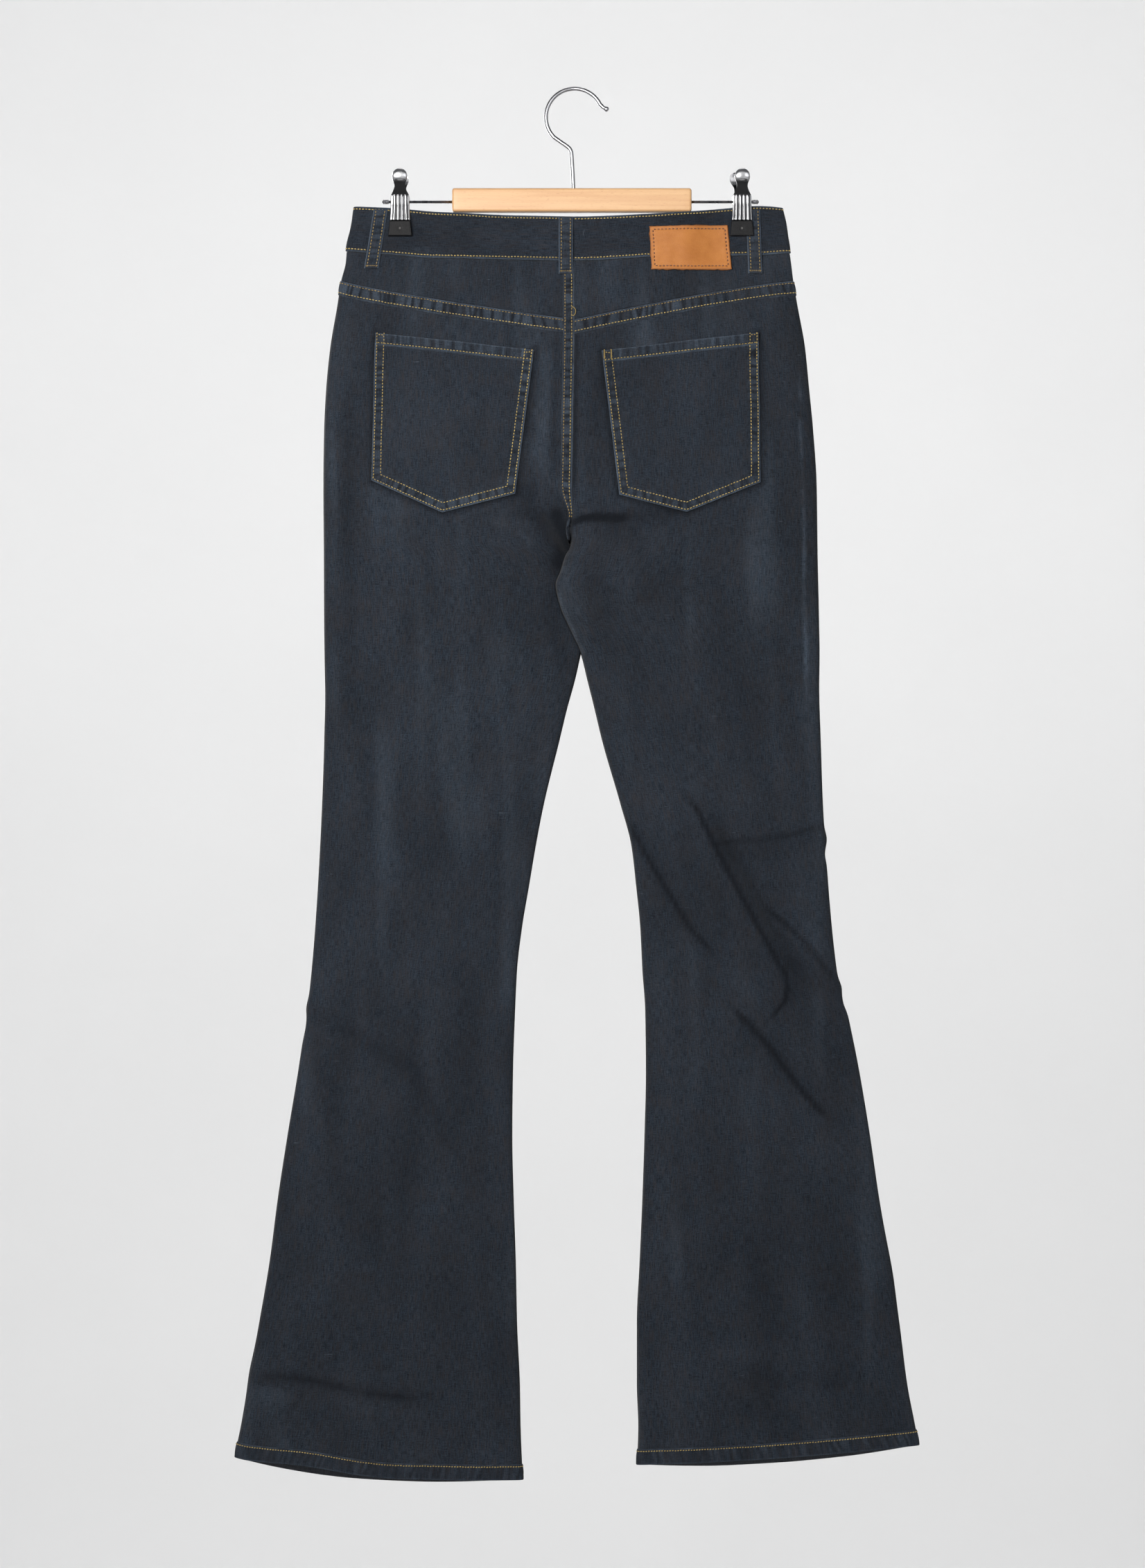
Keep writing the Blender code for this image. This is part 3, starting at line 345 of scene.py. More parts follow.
def cloth(side, face, across, drop):
    """Points of the cloth's outer face. across runs from 0 at the side seam to 1 at the inner edge."""
    across = np.asarray(across, float)
    drop = np.asarray(drop, float)
    outer = OUTLINE(side, drop)
    x = outer + (inner_edge(side, drop) - outer) * across
    above_crotch = np.clip((CROTCH - drop) / CROTCH_BEND, 0, 1)
    joined = np.sqrt(1 - (1 - above_crotch) ** 2)
    parting = PARTING_START + (1 - PARTING_START) * ease((drop - CROTCH) / PARTING_LONG + PARTING_AHEAD)
    fullness = build_up(across) * (joined + (1 - joined) * build_up((1 - across) / parting))
    depth = OUTLINE(face, drop) * fullness
    near = APART_FROM + APART_NARROW * np.exp(-(((drop - CROTCH) / APART_WIDENS) ** 2)) * (face == "back")
    early = drop + APART_EARLY * ease((1 - across) / APART_EARLY_FROM)
    apart = np.where(early < CROTCH, 0.0, INSEAM("apart", early)) * ease((across - near) / (1 - near))
    if (side, face) in PRESSED_FACES:
        depth = depth * (1 - PRESSED_SHARE * apart)
    hold = pinch(x, drop)
    depth = depth * (1 - hold) + CLIP_PINCH * hold * np.minimum(1, fullness * 3)
    depth = depth + fold_height(side, face, x, drop) * np.clip(fullness * 1.6 - 0.5, 0, 1)
    middle = apart if side == "left" else -apart
    away = -1 if face == "back" else 1
    return np.stack([x, middle + away * (depth + SEAM_GAP / 2), -drop], axis=-1)


def outward(side, face, across, drop):
    """Unit normals of the cloth, pointing out of the garment."""
    turn = np.arccos(1 - 2 * np.clip(across, 0, 1)) / math.pi
    before = (1 - np.cos(math.pi * np.clip(turn - 0.01, 0, 1))) / 2
    after = (1 - np.cos(math.pi * np.clip(turn + 0.01, 0, 1))) / 2
    over = cloth(side, face, after, drop) - cloth(side, face, before, drop)
    down = cloth(side, face, across, drop + 0.6) - cloth(side, face, across, drop - 0.6)
    normal = np.cross(over, down)
    if (side == "left") == (face == "back"):
        normal = -normal
    # An edge that meets another piece keeps its wall in the plane of the seam.
    at_tip = (across <= 0) | ((across >= 1) & (drop >= CROTCH))
    at_centre = (across >= 1) & (drop <= CROTCH)
    normal[..., 1] = np.where(at_tip, 0, normal[..., 1])
    normal[..., 0] = np.where(at_centre, 0, normal[..., 0])
    length = np.linalg.norm(normal, axis=-1, keepdims=True)
    straight_down = np.array([0.0, 0.0, -1.0])
    return np.where(length > 1e-9, normal / np.maximum(length, 1e-9), straight_down)


def across_of(side, x, drop):
    outer = OUTLINE(side, drop)
    return np.clip((x - outer) / (inner_edge(side, drop) - outer), 0, 1)


def band_x(side, across):
    return OUTLINE(side, BAND_MIDDLE) * (1 - across) + CENTRE_SEAM("x", BAND_MIDDLE) * across


def band_edge(column, side, face, across):
    edge = WAISTBAND(column, band_x(side, across))
    if face == "front":
        edge = edge + FRONT_DIP * ease((across - DIP_START) / (1 - DIP_START))
    return edge


def seam_drop(rule, across):
    at_side, at_inner, bend = rule
    return at_side + (at_inner - at_side) * across**bend


def hem_drop(rule, across):
    at_side, at_inner, bend = rule
    return at_inner + (at_side - at_inner) * (1 - across) ** bend


def scoop_edge(share_down):
    return SCOOP_ACROSS * (1 - np.clip(share_down, 0, 1) ** SCOOP_ROUND) ** SCOOP_END


# ---------------------------------------------------------------- finer relief

SIDES = ("left", "right")
PANEL_STEP = 2.9
RATIO = 3  # cells of a shell's outer face along each cell of its plain inner face
BROAD_HEIGHT, CRUMPLE_HEIGHT = 0.45, 0.07
CALM_EDGE = 0.06  # share of a half over which the finer relief fades out towards a fold


class Waves:
    """A random relief with a spread of about 1: many waves of different length and direction."""

    def __init__(self, seed, count, shortest, longest):
        random = np.random.default_rng(seed)
        rate = 2 * math.pi / random.uniform(shortest, longest, count)
        turn = random.uniform(0, math.pi, count)
        phase = random.uniform(0, 2 * math.pi, count)
        self.waves = np.stack([rate * np.cos(turn), rate * np.sin(turn), phase], axis=1)

    def __call__(self, x, drop):
        total = np.zeros(np.broadcast(x, drop).shape)
        for across_rate, down_rate, phase in self.waves:
            total += np.sin(across_rate * x + down_rate * drop + phase)
        return total / math.sqrt(len(self.waves) / 2)


class Puckers:
    """Uneven dips one after another along a seam, some deeper, wider or more slanted than others."""

    def __init__(self, seed, length, spacing, width, depth, lean=0.0):
        random = np.random.default_rng(seed)
        gaps = spacing * random.uniform(0.5, 1.5, int(length / spacing * 1.5) + 6)
        places = np.cumsum(gaps)
        places = places[places < length]
        count = len(places)
        widths = width * random.uniform(0.6, 1.5, count)
        depths = depth * random.uniform(0.3, 1.2, count)
        leans = lean + random.normal(0, 0.14, count)
        self.dips = np.stack([places, widths, depths, leans], axis=1)
        self.shades = random.uniform(0.1, 1, (2, count)) ** 1.25

    def __call__(self, u, v):
        total = np.zeros(np.broadcast(u, v).shape)
        for place, width, depth, lean in self.dips:
            total -= depth * np.exp(-(((u - place - lean * v) / width) ** 2))
        return total

    def patch(self, u, v, row=0):
        """How worn the cloth is between the dips: from 0 to 1, another value in each gap."""
        places = self.dips[:, 0]
        return np.interp(u - self.dips[:, 3].mean() * v, places, self.shades[row])

    def wear(self, u, v):
        """Worn paler between the dips, with painted shade in them, from -1 to 1."""
        dark = np.clip(-self(u, v) / (0.75 * self.dips[:, 2].max()), 0, 1)
        return 0.34 * self.patch(u, v) * (1 - dark) - 0.6 * dark


BROAD = {"back": Waves(11, 18, 46, 130), "front": Waves(12, 18, 46, 130)}
CRUMPLE = {"back": Waves(21, 40, 9, 26), "front": Waves(22, 40, 9, 26)}

# Creases finer than the frame's folds: side, face, width, height and line
CREASES = [
    ("right", "back", 4.2, -1.3, [(93, 603), (104, 613), (124, 654), (142, 689), (164, 729), (180, 758)]),
    ("right", "back", 3.6, -0.8, [(185, 764), (182, 778), (168, 789)]),
    ("right", "back", 4.6, -0.9, [(44, 621), (58, 647), (74, 678), (97, 714), (119, 737)]),
    ("right", "back", 5.0, -0.9, [(133, 780), (165, 816), (194, 853), (216, 877)]),
    ("right", "back", 4.0, -0.8, [(208, 631), (176, 640), (133, 652)]),
    ("right", "back", 4.0, -0.8, [(226, 762), (206, 742), (187, 729)]),
    ("right", "back", 6.0, 0.7, [(112, 566), (150, 590), (190, 602)]),
    ("right", "back", 7.0, -0.7, [(70, 770), (96, 800), (118, 838)]),
    ("right", "back", 8.0, 0.8, [(70, 930), (120, 952), (180, 962)]),
    ("right", "back", 8.0, -0.7, [(100, 1010), (150, 1022), (200, 1018)]),
    ("left", "back", 5.0, -0.9, [(-227, 782), (-205, 796), (-176, 812)]),
    ("left", "back", 5.0, -0.8, [(-195, 808), (-136, 835), (-101, 914)]),
    ("left", "back", 7.0, 0.7, [(-206, 640), (-160, 664), (-120, 668)]),
    ("left", "back", 6.0, -0.6, [(-150, 700), (-120, 728), (-84, 742)]),
    ("left", "back", 7.0, -0.7, [(-265, 1099), (-210, 1104), (-168, 1114)]),
    ("left", "back", 8.0, 0.7, [(-236, 940), (-190, 962), (-140, 958)]),
    ("left", "back", 7.5, -0.7, [(-11, 378), (-26, 367), (-46, 361)]),
    ("left", "back", 6.0, -0.6, [(-60, 392), (-90, 410), (-120, 446)]),
    ("right", "back", 4.2, -2.2, [(-1, 372), (8, 367.5), (20, 366), (44, 367), (66, 372)]),
    ("right", "back", 4.0, 1.2, [(0, 362), (20, 358), (44, 358), (60, 361)]),
    ("right", "back", 6.0, -0.7, [(0, 430), (24, 452), (60, 470)]),
    ("left", "front", 4.4, -1.1, [(-26, 352), (-60, 342), (-104, 344)]),
    ("right", "front", 4.4, -1.1, [(20, 354), (56, 342), (100, 342)]),
    ("left", "front", 4.6, -0.9, [(-22, 366), (-50, 372), (-84, 392)]),
    ("right", "front", 4.6, -0.9, [(18, 364), (48, 374), (86, 398)]),
    ("right", "front", 5.0, -1.0, [(84, 640), (118, 680), (150, 716), (172, 738)]),
    ("right", "front", 4.6, -0.9, [(60, 690), (92, 720), (126, 742)]),
    ("right", "front", 6.0, -0.8, [(206, 756), (180, 770), (150, 768)]),
    ("left", "front", 5.0, -0.9, [(-190, 654), (-150, 684), (-100, 700)]),
    ("left", "front", 5.0, -0.8, [(-206, 764), (-170, 786), (-120, 792)]),
    ("left", "front", 7.0, 0.7, [(-226, 900), (-180, 934), (-120, 950)]),
    ("right", "front", 7.0, 0.7, [(230, 930), (180, 950), (120, 976)]),
]

# How far the folded side edges bulge: side, drop, reach along the edge, height
EDGE_BUMPS = [
    ("right", 638, 7, 1.6),
    ("right", 652, 6, -0.9),
    ("right", 765, 7, 1.8),
    ("right", 780, 6, -0.8),
    ("right", 1010, 22, 0.7),
    ("left", 782, 8, 1.5),
    ("left", 800, 9, -0.6),
    ("left", 1092, 16, 0.9),
    ("left", 520, 24, -0.6),
    ("right", 480, 26, 0.6),
]


# Paler worn ridges and edges (above 0), and painted shade (below 0) in hollows, along folds and beside the other
# leg:
# side, face, reach, strength, how much it is smeared to its right, and the line
WEAR_AND_SHADE = [
    ("right", "back", 1.9, -1.25, 0.0,
     [(92, 598), (104, 613), (124, 653.7), (142, 687.4), (164.6, 728), (180, 757)]),
    ("right", "back", 1.8, -0.9, 0.0, [(178, 748), (181, 764), (179, 776), (166, 792)]),
    ("right", "back", 9.0, -0.42, 5.0,
     [(104, 613), (128, 653), (147, 687), (170, 726), (184, 755), (172, 787)]),
    ("right", "back", 12.0, -0.2, -11.0, [(100, 618), (118, 655), (136, 690), (158, 730), (172, 756)]),
    ("right", "back", 1.8, -0.8, 0.0, [(44, 621), (58, 647), (76, 678), (98, 714), (119, 737)]),
    ("right", "back", 2.2, -0.7, 0.0, [(160, 695), (176, 707), (193, 723), (210, 744), (223, 762)]),
    ("right", "back", 2.2, -0.45, 0.0, [(110, 643), (134, 641), (158, 638), (186, 634), (210, 628)]),
    ("right", "back", 6.0, -0.3, 2.0, [(44, 621), (58, 647), (74, 678), (97, 714), (119, 737)]),
    ("right", "back", 1.8, -0.7, 0.0, [(130, 778), (148, 794), (165, 814), (194, 853), (216, 877)]),
    ("right", "back", 3.5, -0.4, 0.0, [(134, 782), (165, 816), (194, 853), (216, 877)]),
    ("right", "back", 12.0, -0.22, 5.0, [(130, 778), (165, 816), (194, 853), (222, 890)]),
    ("right", "back", 12.0, -0.2, 0.0, [(200, 634), (160, 644), (124, 652)]),
    ("right", "back", 10.0, -0.22, 0.0, [(226, 770), (200, 752), (176, 738)]),
    ("right", "back", 3.0, -1.3, 0.0, [(-3.0, 374), (0, 369.5), (6.5, 366.2), (21, 365.4), (44, 366)]),
    ("right", "back", 2.4, 0.16, 0.0, [(-1, 364), (8, 361), (24, 359.5), (44, 359)]),
    ("right", "back", 9.0, -0.4, 0.0, [(10, 364), (33, 366), (60, 365), (92, 361)]),
    ("right", "back", 15.0, -0.3, 0.0, [(26, 368), (48, 386), (60, 408), (68, 440)]),
    ("right", "back", 10.0, -0.18, 0.0, [(12, 394), (22, 425), (28, 455)]),
    ("right", "back", 1.4, 0.25, 0.0, [(-15, 426), (-10, 446), (-2, 461), (5, 478), (8, 492)]),
    ("right", "back", 12.0, 0.05, 0.0, [(-10, 400), (-6, 425), (4, 450)]),
    ("left", "back", 6.0, -1.1, 0.0, [(-17, 356), (-11, 372), (-7, 386), (-9, 398), (-15, 410)]),
    ("left", "back", 11.0, -0.55, 0.0, [(-42, 330), (-38, 358), (-24, 374), (-12, 392), (-16, 414)]),
    ("left", "back", 9.0, -0.3, 0.0, [(-17, 420), (-20, 450), (-12, 476), (-8, 500)]),
    ("left", "back", 8.0, 0.1, 0.0, [(-66, 366), (-44, 376), (-30, 392)]),
    ("left", "back", 3.0, -0.35, 0.0, [(-16, 196), (-15, 240), (-17, 290), (-16, 330)]),
    ("right", "back", 2.0, -0.8, 0.0, [(2.4, 196), (1.8, 240), (0.4, 290), (-1.2, 350)]),
    ("left", "back", 7.0, -0.3, 0.0,
     [(-190, 226), (-194, 300), (-192, 380), (-190, 452), (-192, 500), (-190, 560)]),
    ("right", "back", 1.2, 0.4, 0.0,
     [(191, 236), (192, 290), (193, 330), (195, 400), (197, 470), (198, 520)]),
    ("left", "back", 9.0, 0.14, 0.0, [(-20, 222), (-20, 262), (-22, 300)]),
    ("left", "back", 8.0, -0.25, 0.0, [(-227, 782), (-205, 796), (-176, 812), (-136, 835), (-101, 914)]),
    ("left", "back", 2.4, -0.3, 0.0, [(-272, 1096), (-245, 1095), (-217, 1099), (-190, 1106)]),
    ("left", "back", 2.4, -0.3, 0.0, [(-178, 1108), (-160, 1111), (-135, 1113)]),
    ("right", "back", 9.0, -0.2, 0.0, [(140, 1092), (170, 1096), (205, 1099), (240, 1096)]),
    ("right", "back", 10.0, 0.1, 0.0, [(110, 1072), (150, 1074), (190, 1072)]),
    ("left", "back", 5.5, -0.34, 0.0,
     [(-274, 1097), (-245, 1096), (-217, 1100), (-190, 1106), (-160, 1110), (-121, 1113)]),
    ("left", "back", 10.0, 0.13, 0.0, [(-270, 1110), (-217, 1115), (-160, 1124), (-118, 1126)]),
    ("right", "back", 70.0, -0.12, 0.0, [(90, 400), (90, 560)]),
    ("left", "back", 80.0, -0.17, 0.0, [(-140, 760), (-150, 900), (-160, 1160)]),
    ("right", "back", 80.0, -0.12, 0.0, [(150, 860), (170, 1160)]),
    ("left", "back", 8.0, -0.3, 0.0, [(-42, 300), (-46, 270), (-40, 236)]),
    ("right", "back", 8.0, -0.25, 0.0, [(16, 300), (20, 270), (22, 240)]),
]


POCKET_SHADE, POCKET_SHADE_REACH = 0.85, 3.0
STREAKS = {"back": Waves(13, 24, 14, 60), "front": Waves(14, 24, 14, 60)}
for streaky in STREAKS.values():
    streaky.waves[:, 1] *= 0.15


def beside_pockets(x, drop):
    """Painted shade beside the pockets' sides and below their points."""
    dark = np.zeros(np.shape(x))
    for corner in POCKETS.values():
        line = [corner[name] for name in ("top_left", "low_left", "tip", "low_right", "top_right")]
        away, _ = along(line, x, drop)
        dark += POCKET_SHADE * np.exp(-((away / POCKET_SHADE_REACH) ** 2))
    return dark


def panel_wear_and_shade(side, face, x, drop):
    # Paler wear above 0 and painted shade below 0: along the listed folds and hollows, and beside the pockets
    total = np.zeros(np.shape(x))
    for wear_side, wear_face, reach, strength, smear, line in WEAR_AND_SHADE:
        if (wear_side, wear_face) == (side, face):
            away, share = along(line, x - smear, drop)
            ends = ease(share / 0.12) * ease((1 - share) / 0.12)
            total += strength * (0.25 + 0.75 * ends) * np.exp(-((away / reach) ** 2))
    if face == "back":
        total -= beside_pockets(x, drop)
    streaks = 0.05 * STREAKS[face](x, drop)
    return np.clip(total + streaks, -1, 1)


def relief(side, face, across, x, drop):
    """How far the cloth stands out of the frame's form."""
    free = ease(across / CALM_EDGE)
    below = ease((drop - CROTCH + 30) / 60)
    free = free * (1 - below * (1 - ease((1 - across) / CALM_EDGE)))
    height = BROAD_HEIGHT * BROAD[face](x, drop) + CRUMPLE_HEIGHT * CRUMPLE[face](x, drop)
    height = (height + fold_height(side, face, x, drop, CREASES)) * free * (1 - pinch(x, drop))
    for bump_side, at, reach, out in EDGE_BUMPS:
        if bump_side == side:
            height += out * np.exp(-(((drop - at) / reach) ** 2)) * (1 - ease(across / 0.12))
    return height


def skin(side, face, across, drop, height=0.0):
    """Points at a height over the cloth of one half, and the cloth's unit normals there."""
    base = cloth(side, face, across, drop)
    normal = outward(side, face, across, drop)
    out = relief(side, face, across, base[..., 0], drop) + height
    return base + normal * out[..., None], normal


def on_cloth(face, x, drop, height=0.0):
    """The same at x and drop, whichever half they lie on."""
    x, drop = np.broadcast_arrays(np.asarray(x, float), np.asarray(drop, float))
    found = []
    for side in SIDES:
        across = across_of(side, x, drop)
        base = cloth(side, face, across, drop)
        normal = outward(side, face, np.clip(across, 0.002, 0.998), drop)
        out = relief(side, face, across, base[..., 0], drop) + height
        found.append((base + normal * out[..., None], normal))
    in_front = "right" if face == "back" else "left"
    on_left = (x < np.where(drop < CROTCH, CENTRE_SEAM("x", drop), INSEAM(in_front, drop)))[..., None]
    return np.where(on_left, found[0][0], found[1][0]), np.where(on_left, found[0][1], found[1][1])


def rounded(distance, radius):
    """0 at an edge, and 1 from a radius inside it, with a round shoulder between."""
    return np.sqrt(1 - (1 - np.clip(distance / radius, 0, 1)) ** 2)


def sewn_in(v, rows, reach=0.75, depth=0.3):
    """The groove that a row of stitches pulls into the cloth."""
    return -depth * sum(np.exp(-(((v - row) / reach) ** 2)) for row in rows)


# ---------------------------------------------------------------- meshes

def run_length(points):
    steps = np.linalg.norm(np.diff(points, axis=0), axis=-1)
    return np.concatenate([[0.0], np.cumsum(steps)])


def crowded(start, end, step, spots=()):
    """Places a step apart, closer together near each (place, reach), in a count that RATIO divides."""
    fine = np.linspace(start, end, 4000)
    density = np.ones(fine.shape)
    for place, reach in spots:
        density += 2.2 * np.exp(-(((fine - place) / reach) ** 2))
    passed = np.concatenate([[0], np.cumsum((density[1:] + density[:-1]) / 2 * np.diff(fine))])
    count = RATIO * max(1, round(passed[-1] / step / RATIO))
    return np.interp(np.linspace(0, passed[-1], count + 1), passed, fine)


def even_shares(side, face, drop, step, last=1.0):
    """Shares across a half at even steps along the cloth, and the length along it there."""
    fine = (1 - np.cos(np.linspace(0, math.pi, 1500))) / 2 * last
    length = run_length(cloth(side, face, fine, np.full(fine.shape, float(drop))))
    count = RATIO * max(1, round(length[-1] / step / RATIO))
    at = np.linspace(0, length[-1], count + 1)
    return np.interp(at, length, fine), at


def quads(number):
    corners = [number[:-1, :-1], number[:-1, 1:], number[1:, 1:], number[1:, :-1]]
    return np.stack([c.ravel() for c in corners], axis=1)


def signed_volume(points, faces):
    total = 0.0
    for group in faces:
        first = points[group[:, 0]]
        for i in range(1, group.shape[1] - 1):
            total += np.einsum("ij,ij->", first, np.cross(points[group[:, i]], points[group[:, i + 1]]))
    return total


# Metres of cloth between two pieces' places on the roll, so that no two have the same threads
CUT_APART = 0.37


class Piece:
    """Closed shells gathered into one object, with marks for each of their points."""

    def __init__(self, name):
        self.name = name
        self.points = []
        self.faces = []
        self.marks = []
        self.count = 0

    def add(self, points, faces, marks):
        if signed_volume(points, faces) < 0:
            faces = [group[:, ::-1] for group in faces]
        self.points.append(points)
        self.marks.append(marks)
        self.faces += [group + self.count for group in faces]
        self.count += len(points)

    def shell(self, outer, inner, u, v, fade=0.0):
        """A closed shell between two grids. u and v measure the cloth along its weft and its warp."""
        inner = inner[::RATIO, ::RATIO]
        rows, columns = outer.shape[:2]
        fine = np.arange(rows * columns).reshape(rows, columns)
        coarse = rows * columns + np.arange(inner.shape[0] * inner.shape[1]).reshape(inner.shape[:2])
        rims = []
        for edge, under in (
            (fine[0], coarse[0]),
            (fine[:, -1], coarse[:, -1]),
            (fine[-1, ::-1], coarse[-1, ::-1]),
            (fine[::-1, 0], coarse[::-1, 0]),
        ):
            for i in range(len(under) - 1):
                along_edge = edge[i * RATIO : (i + 1) * RATIO + 1]
                rims.append([*along_edge[::-1], under[i], under[i + 1]])
        # On the cloth this mark is paler wear above 0 and painted shade below 0
        marks = [np.broadcast_to(value, (rows, columns)) for value in (u, v, fade)]
        outer_marks = np.stack([m.ravel() for m in marks] + [np.zeros(rows * columns)], axis=1)
        within = [m[::RATIO, ::RATIO].ravel() for m in marks[:2]]
        nothing = np.zeros(len(within[0]))
        inner_marks = np.stack([*within, nothing, nothing + 1], axis=1)
        points = np.concatenate([outer.reshape(-1, 3), inner.reshape(-1, 3)])
        faces = [quads(fine), quads(coarse)[:, ::-1], np.array(rims)]
        self.add(points, faces, np.concatenate([outer_marks, inner_marks]))

    def build(self, look, slot, replaces=(), smooth=True):
        points = np.concatenate(self.points) * MM
        marks = np.concatenate(self.marks)
        corners = np.concatenate([group.ravel() for group in self.faces])
        sizes = np.concatenate([np.full(len(group), group.shape[1]) for group in self.faces])
        mesh = bpy.data.meshes.new(self.name)
        mesh.vertices.add(len(points))
        mesh.vertices.foreach_set("co", points.astype(np.float32).ravel())
        mesh.loops.add(len(corners))
        mesh.loops.foreach_set("vertex_index", corners.astype(np.int32))
        mesh.polygons.add(len(sizes))
        starts = np.concatenate([[0], np.cumsum(sizes)[:-1]])
        mesh.polygons.foreach_set("loop_start", starts.astype(np.int32))
        mesh.update(calc_edges=True)
        mesh.validate()
        woven = mesh.uv_layers.new(name="woven")
        cut_at = sum(map(ord, self.name)) * CUT_APART
        woven.data.foreach_set("uv", (marks[corners, :2] * MM + cut_at).astype(np.float32).ravel())
        # The first of these marks holds tone and wear, painted shade on the cloth and painted reflections on the
        # levers
        for name, column in (("faded", 2), ("wrong_side", 3)):
            mark = mesh.attributes.new(name, "FLOAT", "POINT")
            mark.data.foreach_set("value", marks[:, column].astype(np.float32))
        if smooth:
            mesh.shade_smooth()
        made = bpy.data.objects.new(self.name, mesh)
        bpy.context.scene.collection.objects.link(made)
        mesh.materials.append(look)
        if replaces:
            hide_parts(*replaces)
        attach(made, "root")
        return made


# ---------------------------------------------------------------- stitches

STITCH_PITCH, STITCH_LENGTH, THREAD = 2.7, 1.95, 0.46
FINE_THREAD = 0.4
THREADS = {}
# Some rows take a darker copy of the gold thread: painted shade where they lie deeper in their seams
THREAD_LOOKS = {"patch": "brown", "yoke_upper": "gold_painted_shade", "centre_upper": "gold_painted_shade", "loops": "gold_painted_shade"}
# A stitch's rings: place along it, thickness, and height over the cloth in thread radii
STITCH_RINGS = np.array([(-1, 0.4, -1.1), (-0.74, 0.9, 0.75), (0, 1.05, 1.15), (0.74, 0.9, 0.75), (1, 0.4, -1.1)])
THREAD_SIDES = 6


def sew(group, points, normals, pitch=STITCH_PITCH, length=STITCH_LENGTH, radius=THREAD, turn=0.0):
    """Stitches one behind another along a path. turn swings each one round, as in a bar tack."""
    piece = THREADS.setdefault(group, Piece(f"stitches_{group}"))
    random = np.random.default_rng(piece.count + 5)
    passed = run_length(points)
    count = max(1, int(passed[-1] / pitch))
    at = (np.arange(count) + 0.5) * passed[-1] / count
    centre = np.stack([np.interp(at, passed, points[:, i]) for i in range(3)], axis=1)
    ahead = np.stack([np.interp(at + 0.6, passed, points[:, i]) for i in range(3)], axis=1)
    behind = np.stack([np.interp(at - 0.6, passed, points[:, i]) for i in range(3)], axis=1)
    up = np.stack([np.interp(at, passed, normals[:, i]) for i in range(3)], axis=1)
    up /= np.linalg.norm(up, axis=1, keepdims=True)
    run = ahead - behind
    run -= up * np.sum(run * up, axis=1, keepdims=True)
    run /= np.linalg.norm(run, axis=1, keepdims=True)
    aside = np.cross(up, run)
    swing = np.radians(turn) + random.normal(0, 0.07, count)[:, None]
    run, aside = run * np.cos(swing) + aside * np.sin(swing), aside * np.cos(swing) - run * np.sin(swing)
    centre = centre + aside * random.normal(0, 0.07, count)[:, None]
    half = length / 2 * random.uniform(0.9, 1.06, count)
    thick = radius * random.uniform(0.9, 1.1, count)
    angles = 2 * math.pi * np.arange(THREAD_SIDES) / THREAD_SIDES
    rings = []
    marks = []
    for place, girth, height in STITCH_RINGS:
        for s, angle in enumerate(angles):
            out = np.cos(angle) * girth
            high = np.sin(angle) * girth + height
            rings.append(
                centre + run * (half * place)[:, None] + aside * (thick * out)[:, None]
                + up * (thick * high)[:, None]
            )
            mark = [at + place * half, np.full(count, s / THREAD_SIDES), at * 0, at * 0]
            marks.append(np.stack(mark, axis=1))
    each = len(rings)
    number = np.arange(each).reshape(len(STITCH_RINGS), THREAD_SIDES)
    closed = np.concatenate([number, number[:, :1]], axis=1)
    sides = quads(closed)
    ends = np.array([number[0, ::-1], number[-1]])
    starts = (np.arange(count) * each)[:, None, None]
    faces = [(sides + starts).reshape(-1, 4), (ends + starts).reshape(-1, THREAD_SIDES)]
    piece.add(np.stack(rings, axis=1).reshape(-1, 3), faces, np.stack(marks, axis=1).reshape(-1, 4))


def tack(group, face, x, drop, height, length=9.0, width=1.9, upright=True):
    """A bar tack: short threads side by side along a line."""
    offset = np.linspace(-length / 2, length / 2, 24)
    across = x + (0 if upright else 1) * offset
    down = drop + (1 if upright else 0) * offset
    points, normals = on_cloth(face, across, down, height)
    sew(group, points, normals, 0.5, width, 0.27, turn=90)


# ---------------------------------------------------------------- seams and hems

UNDER = -0.4  # a strip's plain inner face lies this far inside the cloth
EDGE_STEPS = [0.0, 0.12, 0.36, 0.75]


